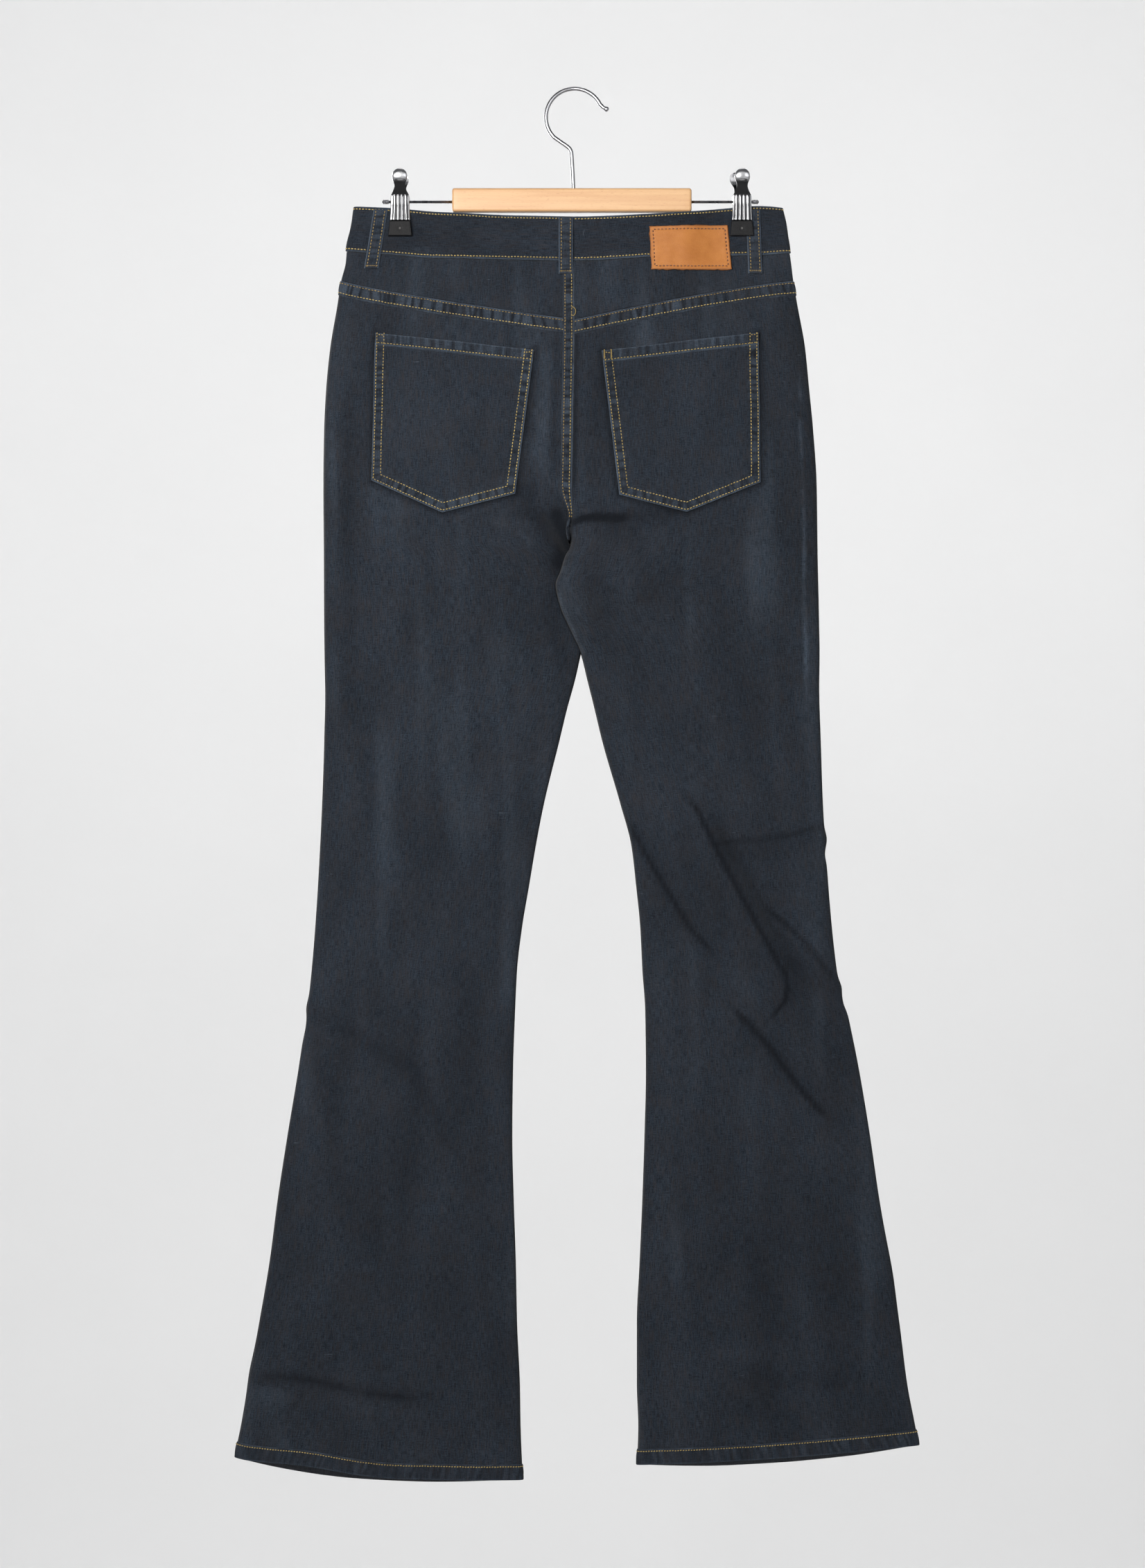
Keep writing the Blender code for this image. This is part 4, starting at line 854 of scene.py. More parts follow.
class Strip:
    """A stitched strip of cloth that stands out along a seam or hem, v measured in from its folded edge."""

    def __init__(self, place, width, lift, rows, puckers, fade=1.0, bulge=0.28, far_edge=0.3):
        self.place, self.width, self.lift, self.rows = place, width, lift, rows
        self.puckers, self.fade, self.bulge, self.far_edge = puckers, fade, bulge, far_edge

    def height(self, u, v):
        inside = ease((v - 0.6) / 1.6) * ease((self.width - v) / 1.8)
        out = self.lift * rounded(v, 0.9) * rounded(self.width + 0.5 - v, 1.2)
        out = out + sewn_in(v, self.rows) * rounded(v, 1.0)
        out = out + inside * (self.puckers(u, v) + self.bulge * np.sin(math.pi * v / self.width) ** 2)
        return np.maximum(out, UNDER + 0.15)

    def fading_and_shade(self, u, v):
        # Pale worn edges and patches, with painted shade in the dips between the puckers
        edge = np.exp(-((v / 1.0) ** 2)) * (0.35 + 0.6 * self.puckers.patch(u, v, 1))
        middle = ease((v - 0.8) / 1.4) * ease((self.width - 0.6 - v) / 1.4)
        far = np.exp(-(((v - self.width) / 0.9) ** 2)) * self.far_edge * self.puckers.patch(u + 9, v, 1)
        return np.clip(self.fade * (edge + far + self.puckers.wear(u, v) * middle), -1, 1)

    def build(self, piece, u, warp_along=False):
        last = self.width + 0.5
        v = np.concatenate([EDGE_STEPS, np.linspace(1.4, last - 1.0, 3 * round((last - 2.4) / 2.1) + 1)])
        v = np.concatenate([v, [last - 0.5, last - 0.15, last]])
        extra = -(len(v) - 1) % RATIO
        v = np.interp(np.linspace(0, len(v) - 1, len(v) + extra), np.arange(len(v)), v)
        across, down = np.meshgrid(u, v)
        outer, _ = self.place(across, down, self.height(across, down))
        inner, _ = self.place(across, down, np.full(across.shape, UNDER))
        marks = (down, across) if warp_along else (across, down)
        piece.shell(outer, inner, *marks, self.fading_and_shade(across, down))

    def stitch(self, groups, u, **kind):
        for group, row in zip(groups, self.rows):
            points, normals = self.place(u, np.full(u.shape, row), self.height(u, row))
            sew(group, points, normals, **kind)


def seam_steps(length, step=0.75):
    return np.linspace(0, length, RATIO * round(length / step / RATIO) + 1)


def share_lookup(side, face, drop):
    """Shares across a half by the length along the cloth from its side seam, and the whole length."""
    shares, lengths = even_shares(side, face, drop, 0.5)
    return lambda u: np.interp(u, lengths, shares), lengths[-1]


YOKE_ROWS = (1.9, 10.0)
CENTRE_ROWS = (2.4, 8.0)
HEM_ROW = 11.6


def yoke_strip(side):
    shares, length = share_lookup(side, "back", 180)

    def place(u, v, height):
        across = shares(u)
        return skin(side, "back", across, seam_drop(YOKE_SEAM[side], across) + v, height)

    puckers = Puckers(31 if side == "left" else 32, length, 7.2, 1.05, 0.5)
    return Strip(place, YOKE_STRIP, SEAM_LAP, YOKE_ROWS, puckers), seam_steps(length)


def hem_at(side, face, across):
    """The hem's drop. The back hems hang higher than the front ones, whose inside shows below them."""
    drop = hem_drop(HEM[side], across)
    bow = np.sin(math.pi * np.clip(across, 0, 1)) ** 0.7
    if face == "front":
        return drop + FRONT_HEM_DROP * bow
    lifted, at, reach = HEM_LIFT[side]
    lift = lifted * np.exp(-(((across - at) / reach) ** 2)) * ease(across / 0.1)
    return drop - BACK_HEM_RISE[side] * bow - lift


def hem_strip(side, face):
    shares, length = share_lookup(side, face, 1170)

    def place(u, v, height):
        across = shares(u)
        return skin(side, face, across, hem_at(side, face, across) + 0.5 - v, height)

    seed = 41 + SIDES.index(side) + 2 * (face == "front")
    puckers = Puckers(seed, length + 20, 5.2, 1.3, 0.34, 0.25)
    strip = Strip(place, HEM_HEIGHT, SEAM_LAP, (HEM_ROW,), puckers, fade=0.42, bulge=0.2, far_edge=0.7)
    return strip, seam_steps(length, 0.66)


CENTRE_TOP, CENTRE_END, CENTRE_SEWN = 146.8, 384.5, 366.0


def centre_seam_strip():
    """The felled seat seam: the left half laps over the right one and turns under at the crotch."""

    def place(u, v, height):
        drop = CENTRE_TOP + u
        over_yoke = SEAM_LAP * np.exp(-(((drop - 203) / 6.5) ** 4))
        narrow = 1 - 0.78 * ease((drop - 338) / 28)
        lip = 2.0 * np.exp(-(((drop - 375) / 7) ** 2))
        return on_cloth("back", CENTRE_SEAM("x", drop) + 0.5 - v * narrow - lip, drop, height + over_yoke)

    length = CENTRE_END - CENTRE_TOP
    puckers = Puckers(51, length, 7.4, 1.05, 0.45)
    return Strip(place, SEAM_STRIP, SEAM_LAP, CENTRE_ROWS, puckers), seam_steps(length)


def crotch_joint(piece):
    """Where the seams cross under the crotch: a small folded pad between the two halves."""
    x, drop = np.meshgrid(np.linspace(-9.0, 1.5, RATIO * 3 + 1), np.linspace(383.5, 391.0, RATIO * 3 + 1))
    grids = [np.stack([x, np.full(x.shape, y), -drop], axis=-1) for y in (-0.5, 0.5)]
    # Marked -0.8: painted shade, for the pad lies deep in the crotch
    piece.shell(*grids, x, drop, -0.8)


def seam_allowance(piece, face, start, end):
    """The folded cloth behind the centre seam."""
    drop, v = np.meshgrid(np.linspace(start, end, RATIO * 20 + 1), np.linspace(-4.5, 4.5, RATIO * 2 + 1))
    x = CENTRE_SEAM("x", drop) + v
    outer, _ = on_cloth(face, x, drop, -CLOTH - 0.05)
    inner, _ = on_cloth(face, x, drop, -CLOTH - 0.85)
    piece.shell(outer, inner, v, drop, 0.0)


# The front: the fly's double row, and the rows along the scoop pockets
FLY_LINE = [(-37.0, 168.5), (-37.0, 200), (-37.2, 236), (-35.6, 262), (-31.0, 282),
            (-22.5, 297), (-11.5, 305), (-3.5, 307.5)]
FRONT_ROW_GAP = 6.2


def offset_line(line, distance):
    """The line moved sideways, to its right as it is followed downwards."""
    line = np.array(line, float)
    run = np.gradient(line, axis=0)
    run /= np.linalg.norm(run, axis=1, keepdims=True)
    return line + distance * np.stack([run[:, 1], -run[:, 0]], axis=1)


def fine_line(line, step=1.0):
    """A smooth curve through a line's points, in even steps."""
    line = np.array(line, float)
    passed = run_length(line)
    at = np.linspace(0, passed[-1], max(2, round(passed[-1] / step) + 1))
    return np.stack([smooth(at, passed, line[:, i]) for i in range(2)], axis=1)


def sew_line(group, face, line, height, **kind):
    points, normals = on_cloth(face, line[:, 0], line[:, 1], height)
    sew(group, points, normals, **kind)


def scoop_line(side, inset=0.0):
    """The scoop pocket's edge from the waistband to the side seam, in x and drop."""
    downs = np.linspace(0, 1, 60) ** 0.8
    across = scoop_edge(downs)
    drop = band_edge("bottom", side, "front", across) + FRONT_SEAM + SCOOP_DEEP * downs
    outer = OUTLINE(side, drop)
    x = outer + (inner_edge(side, drop) - outer) * across
    line = fine_line(np.stack([x, drop], axis=1)[::3])
    toward = 1 if side == "left" else -1
    return offset_line(line, toward * inset)


def front_stitches():
    line = fine_line(FLY_LINE)
    for inset in (0, FRONT_ROW_GAP):
        sew_line("front", "front", offset_line(line, -inset), 0.1)
    for row in (2.6, 8.4):
        drop = np.linspace(310, 380, 80)
        sew_line("front", "front", np.stack([CENTRE_SEAM("x", drop) - row, drop], axis=1), SEAM_LAP * 0.1)
    for side in SIDES:
        for row in (2.0, 8.4):
            line = scoop_line(side, row)
            clear = np.abs(line[:, 0]) < np.abs(OUTLINE(side, line[:, 1])) - 1.5
            sew_line("front", "front", line[clear], SCOOP_LAP * (0.9 if row < 4 else 0.15))
        edge = scoop_line(side, 5.2)
        for place in (3, -12):
            tack("front", "front", edge[place, 0], edge[place, 1] + 4, 0.5, 8.0, upright=place == 3)
    tack("front", "front", -7.5, 306, 0.9, 9.0)
    tack("front", "front", -36, 262, 0.3, 8.0)


# ---------------------------------------------------------------- the panels

# Beside the crotch the inner face is set this much deeper, or it would show through in the fold
CROTCH_THICK, CROTCH_THICK_DROP = 1.2, 374.0
CROTCH_THICK_LONG, CROTCH_THICK_ACROSS = 30, 0.22


def leg(side, face, piece, top, shares, u, length):
    """A leg's panel between its top edge and its hem, its rows closer together at the crotch."""
    bottom = hem_at(side, face, shares)
    crotch = (CROTCH + 4 - top[-1]) / (bottom[-1] - top[-1])
    downs = crowded(0, 1, PANEL_STEP / length, [(crotch, 0.02)])
    drop = top + (bottom - top) * downs[:, None]
    across = np.broadcast_to(shares, drop.shape)
    outer, normal = skin(side, face, across, drop)
    from_crotch = (drop - CROTCH_THICK_DROP) / CROTCH_THICK_LONG
    near = np.exp(-(from_crotch**2) - ((1 - across) / CROTCH_THICK_ACROSS) ** 2)
    inner = outer - normal * (CLOTH + CROTCH_THICK * near)[..., None]
    piece.shell(outer, inner, u, drop, panel_wear_and_shade(side, face, outer[..., 0], drop))


def back_panel(side, looks):
    piece = Piece(f"denim_back_{side}")
    shares, u = even_shares(side, "back", 700, PANEL_STEP)
    leg(side, "back", piece, seam_drop(YOKE_SEAM[side], shares), shares, u, 1000)
    strip, steps = yoke_strip(side)
    strip.build(piece, steps)
    strip.stitch(("yoke_upper", "yoke"), steps, radius=FINE_THREAD)
    strip, steps = hem_strip(side, "back")
    strip.build(piece, steps)
    strip.stitch(("hems",), steps, pitch=2.3, length=1.6, radius=0.42, turn=10)
    if side == "left":
        strip, steps = centre_seam_strip()
        strip.build(piece, steps, warp_along=True)
        strip.stitch(("centre", "centre_upper"), steps[steps < CENTRE_SEWN - CENTRE_TOP], radius=FINE_THREAD)
        seam_allowance(piece, "back", 150, 385)
        crotch_joint(piece)
    return piece.build(looks["denim"], "denim", [f"back_panel_{side}"])


def yoke(side, looks):
    piece = Piece(f"denim_yoke_{side}")
    shares, u = even_shares(side, "back", 170, 1.8)
    top = band_edge("bottom", side, "back", shares) + SEAM_GAP
    bottom = seam_drop(YOKE_SEAM[side], shares) - SEAM_GAP
    drop = top + (bottom - top) * np.linspace(0, 1, 25)[:, None]
    across = np.broadcast_to(shares, drop.shape)
    outer, normal = skin(side, "back", across, drop)
    piece.shell(outer, outer - normal * CLOTH, u, drop, panel_wear_and_shade(side, "back", outer[..., 0], drop))
    return piece.build(looks["denim"], "denim", [f"yoke_{side}"])


def front_panel(side, looks):
    piece = Piece(f"denim_front_{side}")
    shares, u = even_shares(side, "front", 700, PANEL_STEP * 1.15)
    downs = np.sin(np.linspace(0, math.pi / 2, 31))
    edge = scoop_edge(downs)[:, None]
    across = edge + (1 - edge) * shares
    drop = band_edge("bottom", side, "front", across) + FRONT_SEAM + SCOOP_DEEP * downs[:, None]
    near = np.exp(-(((across - edge) * HALF_WIDTH / 6.5) ** 4))
    outer, normal = skin(side, "front", across, drop, SCOOP_LAP * near)
    inner = outer - normal * CLOTH
    worn = 0.8 * np.exp(-(((across - edge) * HALF_WIDTH / 1.6) ** 2))
    # Paler at the scoop's edge, plus the panel's wear and painted shade
    worn = worn + panel_wear_and_shade(side, "front", outer[..., 0], drop)
    piece.shell(outer, inner, np.interp(across, shares, u), drop, np.clip(worn, -1, 1))
    leg(side, "front", piece, drop[-1], shares, u, 1000)
    strip, steps = hem_strip(side, "front")
    strip.build(piece, steps)
    strip.stitch(("front_hems",), steps, pitch=2.3, length=1.6, radius=0.42, turn=10)
    if side == "left":
        seam_allowance(piece, "front", 175, 385)
    return piece.build(looks["denim"], "denim", [f"front_panel_{side}"])


def pocket_facing(side, looks):
    """The cloth that shows inside the front pocket's scoop."""
    piece = Piece(f"denim_facing_{side}")
    downs = np.sin(np.linspace(0, math.pi / 2, 31)) * 0.99
    across = (scoop_edge(downs) - 0.004)[:, None] * np.sin(np.linspace(0, math.pi / 2, 25)) ** 2
    across = np.maximum(across, 0)
    drop = band_edge("bottom", side, "front", across) + FRONT_SEAM + SCOOP_DEEP * downs[:, None]
    outer, normal = skin(side, "front", across, drop, -FACING_INSET)
    piece.shell(outer, outer - normal * CLOTH, across * HALF_WIDTH, drop)
    return piece.build(looks["denim"], "denim", [f"pocket_facing_{side}"])


# ---------------------------------------------------------------- the waistband

BAND_ROWS = (2.2, 2.3)  # in from the top edge and from the lower one
BAND_STEP = 0.95
BAND_CLOUDS = Waves(63, 30, 9, 34)
BAND_CLOUDS.waves[:, 0] *= 0.4


def band_height(u, v, high, puckers):
    """The waistband's outer face over the cloth. v runs down from its top edge, high is its whole height."""
    out = -0.1 + (BAND_RAISE + 0.1) * rounded(v, 1.2) * rounded(high - v, 0.9)
    out = out + sewn_in(v, (BAND_ROWS[0],)) + sewn_in(high - v, (BAND_ROWS[1],))
    low_edge = ease((high - v) / 1.6) * ease((v - high + 13) / 9)
    return out + puckers(u, v) * low_edge + 0.1 * CRUMPLE["back"](u * 1.6 + 40, v * 0.8)


def band_half(side, face, shares, u, puckers):
    top = band_edge("top", side, face, shares)
    high = band_edge("bottom", side, face, shares) - top
    top_edge, bottom_edge = [0, 0.003, 0.01, 0.022, 0.04], [0.96, 0.978, 0.99, 0.997, 1]
    downs = np.concatenate([top_edge, np.linspace(0.06, 0.94, 39), bottom_edge])
    v = high * downs[:, None]
    drop = top + v
    across = np.broadcast_to(shares, drop.shape)
    outer, normal = skin(side, face, across, drop, band_height(u, v, high, puckers))
    inner_height = -0.1 - (BAND_WALL - 0.1) * rounded(v, 1.2)
    inner, _ = skin(side, face, across, drop, inner_height)
    edges = np.exp(-((v / 1.3) ** 2)) + np.exp(-(((high - v) / 1.3) ** 2))
    # Rubbed paler between the puckers above the lower edge, with painted shade in their dips
    rubbed_and_shaded = np.exp(-(((high - v - 5) / 5) ** 2)) * puckers.wear(u, v)
    clouds = 0.05 * BAND_CLOUDS(u, v) - 0.1 + 0.12 * rubbed_and_shaded
    return outer, inner, np.broadcast_to(u, drop.shape), v, np.clip(0.55 * edges + clouds, -1, 1)


def band_rows(side, face, shares, u, puckers, group):
    top = band_edge("top", side, face, shares)
    high = band_edge("bottom", side, face, shares) - top
    for v in (BAND_ROWS[0] + 0 * high, high - BAND_ROWS[1]):
        points, normals = skin(side, face, shares, top + v, band_height(u, v, high, puckers))
        sew(group, points, normals)


def waistband(name, node, face, halves, looks):
    """halves lists side and shares, in order from the left to the right."""
    piece = Piece(name)
    puckers = Puckers(61 if face == "back" else 62, 620, 9.0, 1.4, 0.3)
    grids = []
    start = 0.0
    for side, shares in halves:
        middle = cloth(side, face, shares, np.full(shares.shape, BAND_MIDDLE))
        u = start + run_length(middle)
        grids.append(band_half(side, face, shares, u, puckers))
        band_rows(side, face, shares, u, puckers, f"band_{face}")
        start = u[-1]
    joined = [np.concatenate([grids[0][i]] + [g[i][:, 1:] for g in grids[1:]], axis=1) for i in range(5)]
    outer, inner, u, v, fade = joined
    piece.shell(outer, inner, v, u, fade)
    return piece.build(looks["denim"], "denim", [node])


def waistbands(looks):
    shares = {side: even_shares(side, "back", BAND_MIDDLE, BAND_STEP)[0] for side in SIDES}
    halves = [("left", shares["left"]), ("right", shares["right"][::-1])]
    waistband("denim_band_back", "waistband_back", "back", halves, looks)
    width = OUTLINE("right", BAND_MIDDLE) - CENTRE_SEAM("x", BAND_MIDDLE)
    end = 1 - BUTTON_END / width
    shares = {side: even_shares(side, "front", BAND_MIDDLE, BAND_STEP)[0] for side in SIDES}
    lap = np.linspace(1, end, RATIO * 6 + 1)
    halves = [("left", shares["left"]), ("right", lap)]
    waistband("denim_band_front_left", "waistband_front_left", "front", halves, looks)
    rest, _ = even_shares("right", "front", BAND_MIDDLE, BAND_STEP, end - SEAM_GAP / width)
    waistband("denim_band_front_right", "waistband_front_right", "front", [("right", rest)], looks)


# ---------------------------------------------------------------- pockets, loops and patch

POCKET_ROWS = (1.9, 7.8)


def between(first, second, t):
    return np.array(first) * (1 - t) + np.array(second) * t


class Pocket:
    """A back pocket: a five-cornered patch with a turned top, sewn on by its sides and its point."""

    def __init__(self, side):
        self.corner = {name: np.array(place) for name, place in POCKETS[side].items()}
        names = ["top_left", "low_left", "tip", "low_right", "top_right"]
        self.outline = [self.corner[name] for name in names]
        self.total = run_length(np.array(self.outline))[-1]
        self.puckers = Puckers(71 + SIDES.index(side), self.total, 7.6, 1.15, 0.45)
        self.hem_puckers = Puckers(75 + SIDES.index(side), 150, 7.5, 1.4, 0.2, 0.5)
        self.streaks = Waves(77 + SIDES.index(side), 24, 2.2, 9)
        self.streaks.waves[:, 1] *= 0.12

    def measures(self, x, drop):
        away, share = along(self.outline, x, drop)
        left, right = self.corner["top_left"], self.corner["top_right"]
        slope = (right - left) / np.linalg.norm(right - left)
        down = (drop - left[1]) * slope[0] - (x - left[0]) * slope[1]
        return away, share * self.total, np.maximum(down, 0), x - left[0]

    def height(self, x, drop):
        away, u, down, from_left = self.measures(x, drop)
        out = POCKET_SEAT + POCKET_CLOTH * rounded(away, 0.9) * rounded(down, 0.8)
        hem = ease((POCKET_HEM + 0.6 - down) / 0.8) * rounded(away, 0.9) * rounded(down, 0.8)
        out = out + HEM_RAISE * hem * (1 + 0.3 * np.sin(math.pi * np.clip(down / POCKET_HEM, 0, 1)))
        between_rows = ease((away - 0.7) / 1.4) * ease((11.2 - away) / 2.6)
        out = out + between_rows * (self.puckers(u, away) + 0.22 * (away < 11))
        out = out + sewn_in(away, POCKET_ROWS) * rounded(away, 1.0) + sewn_in(down, (POCKET_HEM - 0.6,))
        out = out + hem * self.hem_puckers(from_left, down) * ease(down / 2)
        return np.maximum(out, POCKET_SEAT + 0.2)

    def fading_and_shade(self, x, drop):
        away, u, down, from_left = self.measures(x, drop)
        rows = ease((away - 0.9) / 1.2) * ease((10.8 - away) / 4.0) * ease((down - POCKET_HEM - 0.6) / 1.5)
        edge = np.exp(-((away / 1.1) ** 2)) * (0.5 + 0.55 * self.puckers.patch(u, away, 1))
        streaks = 0.09 + 0.1 * self.streaks(from_left, down) - 0.16 * np.exp(-((away / 4) ** 2))
        hem = streaks * ease((POCKET_HEM - 0.9 - down) / 1.2) + 0.6 * np.exp(-((down / 0.8) ** 2))
        under = 0.5 * np.exp(-(((down - POCKET_HEM - 0.4) / 0.8) ** 2))
        under = under * (0.4 + 0.6 * self.puckers.patch(from_left, 0, 1))
        # The puckers' marks add painted shade in the dips between the rows
        return np.clip(0.9 * edge + 0.85 * self.puckers.wear(u, away) * rows + hem + under, -1, 1)

    def inset(self, distance):
        """The outline moved in by a distance, mitred at its corners, open at the top."""
        lines = []
        for first, second in zip(self.outline, self.outline[1:]):
            run = (second - first) / np.linalg.norm(second - first)
            aside = np.array([run[1], -run[0]]) * distance
            lines.append((first + aside, run))
        corners = [lines[0][0]]
        for (here, run), (there, next_run) in zip(lines, lines[1:]):
            steps = np.linalg.solve(np.stack([run, -next_run], axis=1), there - here)
            corners.append(here + run * steps[0])
        last_aside = lines[-1][0] - self.outline[-2]
        corners.append(self.outline[-1] + last_aside)
        return np.array(corners)


def even_line(line, step=1.0):
    passed = run_length(line)
    at = np.linspace(0, passed[-1], max(2, round(passed[-1] / step) + 1))
    return np.stack([np.interp(at, passed, line[:, i]) for i in range(2)], axis=1)


def back_pocket(side, looks):
    pocket = Pocket(side)
    corner = pocket.corner
    low_left, low_right = corner["low_left"], corner["low_right"]
    wide = corner["top_right"][0] - corner["top_left"][0]
    deep = corner["tip"][1] - corner["top_left"][1]
    tip_share = (corner["tip"][0] - low_left[0]) / (low_right[0] - low_left[0])
    edge = 2.0 / wide
    shares = crowded(0, 1, 1.25 / wide, [(0, edge), (1, edge)])
    downs = crowded(0, 1, 1.1 / deep, [(0, 1.5 / deep), (POCKET_HEM / deep, 1.5 / deep), (1, 2 / deep)])
    share, down = np.meshgrid(shares, downs)
    top = between(corner["top_left"], corner["top_right"], share[..., None])
    first = between(low_left, corner["tip"], np.clip(share / tip_share, 0, 1)[..., None])
    past_tip = np.clip((share - tip_share) / (1 - tip_share), 0, 1)
    second = between(corner["tip"], low_right, past_tip[..., None])
    bottom = np.where((share <= tip_share)[..., None], first, second)
    place = between(top, bottom, down[..., None])
    x, drop = place[..., 0], place[..., 1]
    outer, _ = on_cloth("back", x, drop, pocket.height(x, drop))
    inner, _ = on_cloth("back", x, drop, POCKET_SEAT)
    piece = Piece(f"denim_pocket_{side}")
    piece.shell(outer, inner, x, drop, pocket.fading_and_shade(x, drop))
    for row in POCKET_ROWS:
        line = even_line(pocket.inset(row))
        sew_line("pockets", "back", line, pocket.height(line[:, 0], line[:, 1]), radius=FINE_THREAD)
    hem = even_line(np.array([corner["top_left"], corner["top_right"]]) + [0, POCKET_HEM - 0.6])[2:-2]
    sew_line("pockets", "back", hem, pocket.height(hem[:, 0], hem[:, 1]), radius=FINE_THREAD)
    for name, toward in (("top_left", 1), ("top_right", -1)):
        start = corner[name] + [toward * (POCKET_ROWS[0] + 0.9), 1.9]
        end = corner[name] + [toward * (POCKET_ROWS[1] - 0.4), 2.3]
        short = even_line(np.array([start, end]))
        sew_line("pockets", "back", short, pocket.height(short[:, 0], short[:, 1]), pitch=1.9, length=1.6)
    if side == "right":
        for row in POCKET_ROWS:
            x, drop = corner["top_left"] + [row + 0.3, 3.4]
            tack("pockets", "back", x, drop, 2.55, 8.0, 1.2)
    return piece.build(looks["denim"], "denim", [f"back_pocket_{side}"])


LOOP_ROW = 2.3


def belt_loop(name, sizes, looks):
    face, top_x, top_drop, low_x, low_drop, low_seat = sizes
    known = np.array(LOOP_PROFILE + [(0.88, -1), (0.93, -1), (1.0, -1)])
    free = 1 - pinch(np.array(between(top_x, low_x, known[:, 0])), between(top_drop, low_drop, known[:, 0]))
    lows = np.where(known[:, 1] < 0, low_seat, LOOP_SEAT + LOOP_LIFT * known[:, 1] * free)
    length = low_drop - top_drop
    puckers = Puckers(81 + len(name), length, 6.5, 0.9, 0.22)

    def place(u, v, height):
        share = u / length
        low = np.interp(share, known[:, 0], lows)
        x = between(top_x, low_x, share) + v - LOOP_WIDTH / 2
        return on_cloth(face, x, between(top_drop, low_drop, share), low + height)

    def top_height(u, v):
        edge = np.minimum(v, LOOP_WIDTH - v)
        end = np.minimum(u, length - u)
        out = LOOP_CLOTH * rounded(edge, 1.1) * rounded(end + 0.15, 0.9)
        out = out + (sewn_in(edge, (LOOP_ROW,), depth=0.24) + puckers(u, v)) * rounded(edge, 1.0)
        return out + 0.3 * np.exp(-(((v - LOOP_WIDTH / 2) / 2.2) ** 2)) * rounded(end, 2)

    v = crowded(0, LOOP_WIDTH, 0.7, [(0, 0.7), (LOOP_WIDTH, 0.7)])
    u = crowded(0, length, 0.8, [(0, 1), (length, 1)])
    across, down = np.meshgrid(v, u)
    outer, _ = place(down, across, np.maximum(top_height(down, across), 0.1))
    inner, _ = place(down, across, np.zeros(down.shape))
    edge = np.minimum(across, LOOP_WIDTH - across)
    # Worn paler between the puckers, with painted shade in their dips
    middle = ease((edge - 1.0) / 1.2) * puckers.wear(down, across)
    fade = 0.8 * np.exp(-((edge / 0.8) ** 2)) + 0.6 * middle
    piece = Piece(f"denim_{name}")
    piece.shell(outer, inner, across + 300, down + top_x, np.clip(fade, -1, 1))
    for row in (LOOP_ROW, LOOP_WIDTH - LOOP_ROW):
        at = np.linspace(0.8, length - 0.8, 60)
        points, normals = place(at, np.full(at.shape, row), top_height(at, np.full(at.shape, row)))
        sew("loops", points, normals, radius=FINE_THREAD)
    aside = np.linspace(0.9, LOOP_WIDTH - 0.9, 24)
    at = np.full(aside.shape, length - 2.2)
    points, normals = place(at, aside, top_height(at, aside) + 0.05)
    sew("loops", points, normals, 0.9, 1.3, 0.25, turn=80)
    return piece.build(looks["denim"], "denim", [name])


def patch_place(share, down):
    top = between(PATCH["top_left"], PATCH["top_right"], share[..., None])
    bottom = between(PATCH["low_left"], PATCH["low_right"], share[..., None])
    place = between(top, bottom, down[..., None])
    return place[..., 0], place[..., 1]


def leather_patch(looks):
    """A bare leather patch with slightly rough edges, held by a row of stitches near its border."""
    wide, deep = 67.0, 37.5
    worn = Waves(91, 26, 3, 14)
    shares = crowded(0, 1, 0.95 / wide, [(0, 1 / wide), (1, 1 / wide)])
    downs = crowded(0, 1, 0.95 / deep, [(0, 1 / deep), (1, 1 / deep)])
    share, down = np.meshgrid(shares, downs)
    x, drop = patch_place(share, down)
    from_side = np.minimum(share, 1 - share) * wide
    from_end = np.minimum(down, 1 - down) * deep
    ragged = 0.22 * worn(x, drop)
    middle_x, middle_drop = x.mean(), drop.mean()
    x = x + ragged * np.sign(x - middle_x) * (from_side < 0.05)
    drop = drop + 0.22 * worn(drop, x) * np.sign(drop - middle_drop) * (from_end < 0.05)
    edge = np.minimum(from_side, from_end)
    height = PATCH_SEAT + PATCH_LEATHER * rounded(edge, 0.8) + 0.05 * worn(x * 0.7, drop * 0.7)
    height = height + sewn_in(edge, (PATCH_ROW,), 0.6, 0.35) + 0.12 * BROAD["front"](x * 2, drop * 2)
    outer, _ = on_cloth("back", x, drop, np.maximum(height, PATCH_SEAT + 0.1))
    inner, _ = on_cloth("back", x, drop, PATCH_SEAT)
    piece = Piece("patch_leather")
    piece.shell(outer, inner, x, drop, np.exp(-((edge / 1.1) ** 2)))
    inset_x, inset_y = PATCH_ROW / wide, PATCH_ROW / deep
    far_x, far_y = 1 - inset_x, 1 - inset_y
    corners = [(inset_x, inset_y), (far_x, inset_y), (far_x, far_y), (inset_x, far_y)]
    for first, second in zip(corners, corners[1:] + corners[:1]):
        line = between(np.array(first), np.array(second), np.linspace(0, 1, 60)[:, None])
        x, drop = patch_place(line[:, 0], line[:, 1])
        path = np.stack([x, drop], axis=1)
        sew_line("patch", "back", path, PATCH_SEAT + PATCH_LEATHER - 0.1, pitch=3.0, length=2.0)
    return piece.build(looks["leather"], "leather", ["leather_patch"])


# ---------------------------------------------------------------- the hanger and the button

